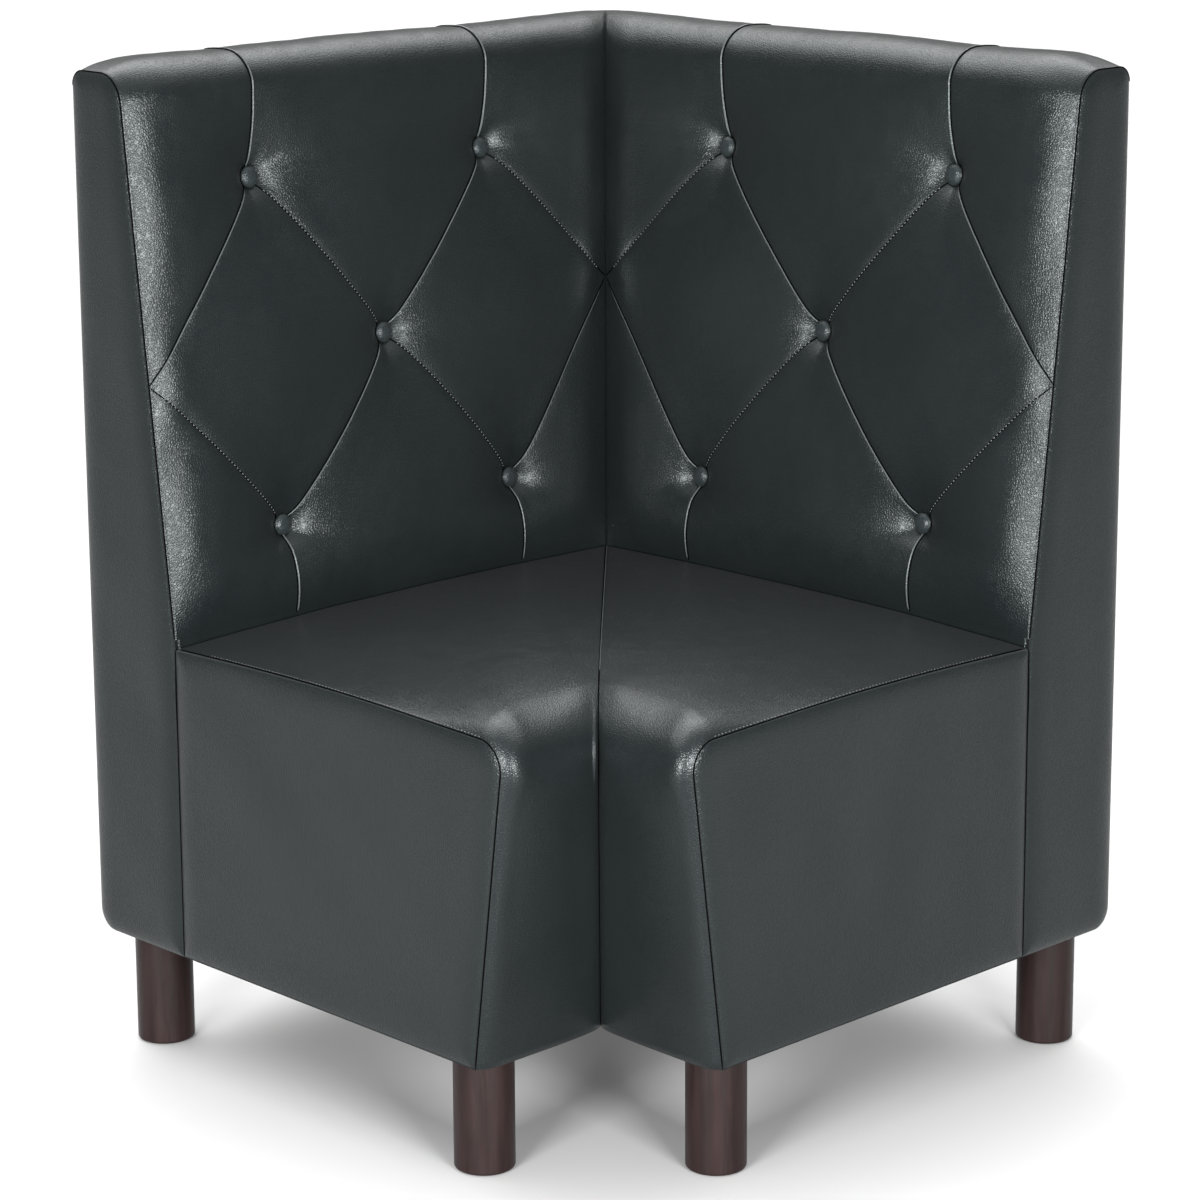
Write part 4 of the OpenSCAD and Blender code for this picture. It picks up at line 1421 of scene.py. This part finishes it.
@dataclass
class FlatSides:
    """The flat outer covers of one half: end panel, side panel, rear panel and lining."""

    hand: Hand
    thick: float = 7.0
    sunk: float = 0.9
    edge: float = 2.2
    edge_reach: float = 5.0
    swell: float = 2.2
    swell_reach: float = 30.0
    wave: float = 0.5
    wave_pitch: float = 80.0
    rear_wave: float = 0.35
    rear_pitch: float = 110.0
    hem: float = 16.0
    sheet_width: float = 0.748
    shade_rod_r: float = 0.7
    seed: int = 31

    def __post_init__(self) -> None:
        """Takes the sections of this half's seat and back."""
        self.seat = NotchedSeat(self.hand)
        self.back = TuftedBack(self.hand)
        self.seed = self.hand.seed(self.seed)

    def panel(self, name: str, d: Array, z: Array, outline: Array) -> bpy.types.Object:
        """A thinly padded panel on the plane of the bench's end.

        With g the distance from the outline, its face stands edge * (1 - exp(-g / edge_reach)) +
        swell * roll(g / swell_reach) - sunk over that plane, plus soft waves.

        Args:
            name: The object's name.
            d: Distances from the outer back on the grid, in mm.
            z: Heights on the grid, in mm.
            outline: Points (d, z) round the panel.

        Returns:
            The new object.
        """
        flat = np.stack([d, z], axis=-1).reshape(-1, 2)
        a, b = outline, np.roll(outline, -1, axis=0)
        run = b - a
        t = clamp(np.einsum("kij,ij->ki", flat[:, None] - a[None], run) / (run ** 2).sum(1)[None])
        gap = np.linalg.norm(flat[:, None] - (a[None] + t[..., None] * run[None]), axis=2).min(1)
        gap = gap.reshape(d.shape)
        inward = gap / self.swell_reach
        rise = self.edge * (1 - np.exp(-gap / self.edge_reach)) + self.swell * roll(inward)
        rise = rise + self.wave * waves(d, z, self.seed, self.wave_pitch) * clamp(inward)
        outer = place(SIDE - self.sunk + rise, d, z, self.hand)
        inner = place(np.float64(SIDE - self.thick), d, z, self.hand)
        return slab(name, outer, inner)

    def end_panel(self) -> bpy.types.Object:
        """Tall panel of the back's end, spanned level from its rear edge to its front edge.

        Both edges are functions of the height. A round corner of radius r stands back by
        r (1 - sqrt(1 - t^2)) at the share t of the way into it.

        Returns:
            The new object.
        """
        s = SECTION
        bottom = s.underside + s.rear_low_r * (1 - np.cos(np.linspace(0, np.pi / 2, 9)))
        middle = np.linspace(s.underside + s.rear_low_r, s.arc_low, 90)
        top = s.cap_top - s.front_edge_r * (1 - np.sin(np.linspace(0, np.pi / 2, 17)))
        z = np.unique(np.concatenate([bottom, middle, top]))
        low = clamp((s.underside + s.rear_low_r - z) / s.rear_low_r)
        rear = s.rear_low_r * (1 - np.sqrt(1 - low ** 2))
        high = clamp((z - (s.cap_top - s.rear_edge_r)) / s.rear_edge_r)
        rear = rear + s.rear_edge_r * (1 - np.sqrt(1 - high ** 2))
        up = clamp((z - s.arc_z) / s.front_edge_r)
        front = np.where(z > s.arc_low, s.arc_u + s.front_edge_r * np.sqrt(1 - up ** 2),
                         s.back_line(z))
        share = np.linspace(0, 1, 31)
        share = mix(share, smooth(share), 0.6)
        d = mix(rear[:, None], front[:, None], share[None, :])
        outline = np.concatenate([np.stack([rear, z], 1), np.stack([front, z], 1)[::-1]])
        return self.panel(f"end_panel_{self.hand.value}", d, z[:, None] + 0 * d, outline)

    def side_panel(self) -> bpy.types.Object:
        """Panel of the seat's end: a patch blended from its four edges.

        A point at shares s and t is the blend of bottom and top edges, plus the blend of rear and
        front edges, less the blend of the four corners.

        Returns:
            The new object.
        """
        seat, sec = self.seat, SECTION
        s, t = np.linspace(0, 1, 81), np.linspace(0, 1, 61)
        s = mix(s, smooth(s), 0.5)
        t = mix(t, smooth(t), 0.5)
        corner = 6.6
        top = np.stack(seat.base(np.interp(s, [0, 0.05, 0.85, 1], [1, 2, 5, corner])), -1)
        front = np.stack(seat.base(np.interp(t, [0, 0.9, 1], [10, 8, corner])), -1)
        rear_foot = np.array([sec.back_low, sec.underside])
        bottom = mix(rear_foot, front[0], s[:, None])
        rear = mix(rear_foot, top[0], t[:, None])
        net = (mix(bottom[:, None], top[:, None], t[None, :, None])
               + mix(rear[None], front[None], s[:, None, None])
               - mix(mix(bottom[0], top[0], t[None, :, None]),
                     mix(bottom[-1], top[-1], t[None, :, None]), s[:, None, None]))
        outline = np.concatenate([bottom, front[1:], top[::-1][1:], rear[::-1][1:-1]])
        return self.panel(f"side_panel_{self.hand.value}", net[..., 0], net[..., 1], outline)

    def rear_panel(self) -> tuple[bpy.types.Object, tuple[float, float]]:
        """Cover of the outer back: a sheet that hangs down it and turns under the frame.

        Its section is an upright line, a quarter circle and a short level hem. The section is
        carried along the wall from the mitre to the end, with soft waves on the upright part.

        Returns:
            The object and the sheet's flat size in metres.
        """
        s = SECTION
        top = s.cap_top - s.rear_edge_r - s.slip
        fall = np.linspace(top, s.underside + s.rear_low_r, 90)
        bend = np.linspace(np.pi, 1.5 * np.pi, 13)[1:]
        r = s.rear_low_r
        hem = np.linspace(r, r + self.hem, 4)[1:]
        d = np.concatenate([0 * fall, r + r * np.cos(bend), hem])
        z = np.concatenate([fall, s.underside + r + r * np.sin(bend), s.underside + 0 * hem])
        share = np.linspace(0, 1, 121)[:, None]
        u = mix(d[None, :] + s.slip / 2, self.back.end, share)
        dip = self.rear_wave * waves(u, z[None, :], self.seed + 5, self.rear_pitch)
        dip = dip * clamp(share / 0.03) * clamp((1 - share) / 0.03) * (d[None, :] < 1)
        inner_d = np.concatenate([s.leather + 0 * fall, r + (r - s.leather) * np.cos(bend), hem])
        inner_z = np.concatenate([fall, s.underside + r + (r - s.leather) * np.sin(bend),
                                  s.underside + s.leather + 0 * hem])
        outer = place(u, d[None, :] + 0.3 + dip * 0.5, z[None, :], self.hand)
        inner = place(mix(inner_d[None, :] + s.slip / 2, self.back.end, share), inner_d[None, :] + 0.3,
                      inner_z[None, :], self.hand)
        long = (top - s.underside - r + math.pi / 2 * r + self.hem) * MM
        return slab(f"rear_panel_{self.hand.value}", outer, inner), (self.sheet_width, long)

    def lining(self) -> tuple[bpy.types.Object, tuple[float, float], float]:
        """Cloth under the frame, on this side of the plan's diagonal.

        It is a level patch that is spanned from the diagonal u = v to the end, between the rear
        hem and the front hem.

        Returns:
            The object, the size of the rectangle it was cut from and its own flat area.
        """
        s, seat = SECTION, self.seat
        inner = s.rear_low_r + self.hem + s.slip
        front = seat.reach_low - seat.turn_under - s.slip
        end = self.back.end - s.slip
        a, b = np.linspace(0, 1, 61), np.linspace(0, 1, 61)
        v = mix(inner, front, b[None, :])
        u = mix(v + s.slip, end, a[:, None])
        z = s.underside + 0.2
        face = place(u, v + 0 * u, z + 0 * u, self.hand)
        over = place(u, v + 0 * u, z + s.leather - 0.3 + 0 * u, self.hand)
        area = ((end - inner) + (end - front)) / 2 * (front - inner) * MM * MM
        piece = slab(f"lining_{self.hand.value}", face, over)
        return piece, ((front - inner) * MM, (end - inner) * MM), area

    def seam_line(self) -> bpy.types.Object:
        """Rods for the painted shade along the end seam, the side seam and the upright seam between the
        panels.

        The upright seam wavers by 0.8 sin(z / 23 mm) under a bell about the height of 402 mm.

        Returns:
            The new object.
        """
        s = SECTION
        row = np.linspace(0, 22, 400)
        d, z = self.back.base(row, np.float64(4.0))
        end_seam = place(SIDE - self.sunk, d, z, self.hand)
        low = np.linspace(s.seat_height - 2, s.underside, 120)
        wobble = 0.8 * np.sin(low / 23.0) * np.exp(-((low - 402) / 40) ** 2)
        upright = place(SIDE - 0.6, s.back_low + wobble, low, self.hand)
        d, z = self.seat.base(np.linspace(2, 10, 300))
        side_seam = place(SIDE - self.sunk, d, z, self.hand)
        return tube(f"painted_end_seam_shade_{self.hand.value}", [end_seam, upright, side_seam], self.shade_rod_r * MM)

    def make(self, wardrobe: Wardrobe) -> None:
        """Args:
            wardrobe: The finishes.
        """
        h = self.hand.value
        end = wardrobe.dress(self.end_panel(), "leather")
        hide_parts(f"end_cover_{h}", f"end_wadding_{h}")
        side = wardrobe.dress(self.side_panel(), "leather")
        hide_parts(f"side_cover_{h}", f"side_wadding_{h}")
        rear, size = self.rear_panel()
        wardrobe.dress(rear, "leather")
        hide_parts(f"rear_cover_{h}")
        lining, size, area = self.lining()
        wardrobe.dress(lining, "lining")
        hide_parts(f"dust_cover_{h}")
        # Painted shade: near-black rods along the panels' seams.
        wardrobe.dress(self.seam_line(), "shadow")


@dataclass
class Studio:
    """Pale floor, soft lights and the camera at the photograph's place.

    The camera's lengths are in mm, its turns in radians, and the lights' lengths in metres.
    """

    distance: float = 4272.2
    camera_height: float = 1436.3
    offset: float = 50.8
    azimuth: float = 0.0141
    pitch: float = 0.2189
    roll_angle: float = 0.0050
    focal_px: float = 3735.9
    picture: float = 1200.0
    principal_y: float = 480.0
    ceiling_light: float = 10.2
    ceiling_front: float = 1.6
    wall_light: float = 0.3
    ceiling_edge: tuple[float, float] = (0.46, 0.84)
    rear_axis: tuple[float, float, float] = (-0.891, 0.454, 0.0)
    rear_edge: tuple[float, float] = (-0.2, 0.6)
    aim_height: float = 0.6
    bank_turn: float = 25.0
    bank_rise: float = 6.0
    bank_far: float = 3.4
    bank_size: tuple[float, float] = (1.1, 1.1)
    bank_power: float = 270.0
    floor_reach: float = 30.0

    def camera(self) -> None:
        """Places the camera from the fitted distance, height, turn, pitch and roll.

        The level axes are right = (1, 1) / sqrt 2 and ahead = (-1, 1) / sqrt 2; each turn mixes
        two of the three directions by its cosine and sine.
        """
        root = math.sqrt(2)
        across = np.array([1, 1, 0]) / root
        ahead = np.array([-1, 1, 0]) / root
        up = np.array([0.0, 0, 1])
        centre = SIDE / root
        spot = self.offset * across + (centre - self.distance) * ahead + self.camera_height * up
        c, s = math.cos(self.azimuth), math.sin(self.azimuth)
        right, level = c * across + s * ahead, c * ahead - s * across
        c, s = math.cos(self.pitch), math.sin(self.pitch)
        forward, lifted = c * level - s * up, s * level + c * up
        c, s = math.cos(self.roll_angle), math.sin(self.roll_angle)
        right, lifted = c * right - s * lifted, s * right + c * lifted
        data = bpy.data.cameras.new("camera")
        data.sensor_width = 36.0
        data.lens = self.focal_px * data.sensor_width / self.picture
        data.shift_y = (self.principal_y - self.picture / 2) / self.picture
        data.clip_end = 100.0
        camera = bpy.data.objects.new("camera", data)
        turn = Matrix([right, lifted, -forward]).transposed().to_4x4()
        camera.matrix_world = Matrix.Translation(Vector(spot * MM)) @ turn
        bpy.context.scene.collection.objects.link(camera)
        bpy.context.scene.camera = camera

    def around(self, turn: float, rise: float, far: float) -> tuple[float, float, float]:
        """Returns a spot round the bench, from degrees right of the camera, degrees up and metres."""
        angle, up = math.radians(turn - 45), math.radians(rise)
        return (far * math.cos(up) * math.cos(angle), far * math.cos(up) * math.sin(angle),
                self.aim_height + far * math.sin(up))

    def soft_light(self, name: str, spot: Sequence[float], aim: Sequence[float], size: Sequence[float],
                   power: float) -> None:
        """Adds one rectangular light, turned to its aim.

        Args:
            name: The light's name.
            spot: The light's place in metres.
            aim: The point in metres that it shines at.
            size: Its width and height in metres.
            power: Its power in watts.
        """
        data = bpy.data.lights.new(name, "AREA")
        data.shape = "RECTANGLE"
        data.size, data.size_y = size
        data.energy = power
        light = bpy.data.objects.new(name, data)
        light.location = spot
        light.rotation_euler = (Vector(aim) - Vector(spot)).to_track_quat("-Z", "Y").to_euler()
        bpy.context.scene.collection.objects.link(light)

    def sky(self, tree: bpy.types.NodeTree) -> None:
        """Lights the world as a ceiling over dim walls, brightest behind and to the left.

        The strength is the ceiling's light, mixed from its front to its rear value by how far
        the direction points behind and left, times a smooth step of its height, over the walls'.

        Args:
            tree: The world's node tree.
        """
        coords = tree.nodes.new("ShaderNodeTexCoord").outputs["Generated"]
        steps = []
        for axis, ends, values in (
                (self.rear_axis, self.rear_edge, (self.ceiling_front, self.ceiling_light)),
                ((0.0, 0.0, 1.0), self.ceiling_edge, (0.0, 1.0))):
            share = tree.nodes.new("ShaderNodeVectorMath")
            share.operation = "DOT_PRODUCT"
            share.inputs[1].default_value = axis
            tree.links.new(coords, share.inputs[0])
            step = tree.nodes.new("ShaderNodeMapRange")
            step.interpolation_type = "SMOOTHSTEP"
            for socket, value in zip(("From Min", "From Max", "To Min", "To Max"), ends + values):
                step.inputs[socket].default_value = value
            tree.links.new(share.outputs["Value"], step.inputs["Value"])
            steps.append(step.outputs[0])
        total = tree.nodes.new("ShaderNodeMath")
        total.operation = "MULTIPLY_ADD"
        tree.links.new(steps[0], total.inputs[0])
        tree.links.new(steps[1], total.inputs[1])
        total.inputs[2].default_value = self.wall_light
        tree.nodes["Background"].inputs["Color"].default_value = (1, 1, 1, 1)
        tree.links.new(total.outputs[0], tree.nodes["Background"].inputs["Strength"])

    def make(self) -> None:
        """Builds the floor, the world's light, the soft lights and the camera."""
        turn = np.linspace(0, 2 * math.pi, 64, endpoint=False)
        rim = np.stack([np.cos(turn), np.sin(turn), 0 * turn], axis=-1) * self.floor_reach
        mesh = bpy.data.meshes.new("floor")
        mesh.from_pydata(rim.tolist(), [], [list(range(64))])
        floor = bpy.data.objects.new("floor", mesh)
        bpy.context.scene.collection.objects.link(floor)
        mesh.materials.append(FINISHES["floor"].make())
        world = bpy.data.worlds.new("studio")
        world.use_nodes = True
        self.sky(world.node_tree)
        bpy.context.scene.world = world
        bpy.context.scene.view_settings.view_transform = "Standard"
        aim = (0.0, 0.0, self.aim_height)
        for name, turned in (("right bank", self.bank_turn), ("left bank", -self.bank_turn)):
            spot = self.around(turned, self.bank_rise, self.bank_far)
            self.soft_light(name, spot, aim, self.bank_size, self.bank_power)
        self.camera()


def main() -> None:
    """Builds the bench's sub-assemblies in order, then the studio."""
    logging.basicConfig(level=logging.INFO, format="%(name)s %(message)s")
    wardrobe = Wardrobe()
    wardrobe.dress_nodes()
    for hand in Hand:
        for part in (TuftedBack(hand), NotchedSeat(hand), FlatSides(hand)):
            log.info("building %s, %s", type(part).__name__, hand.value)
            part.make(wardrobe)
    Studio().make()


if __name__ == "__main__":
    main()
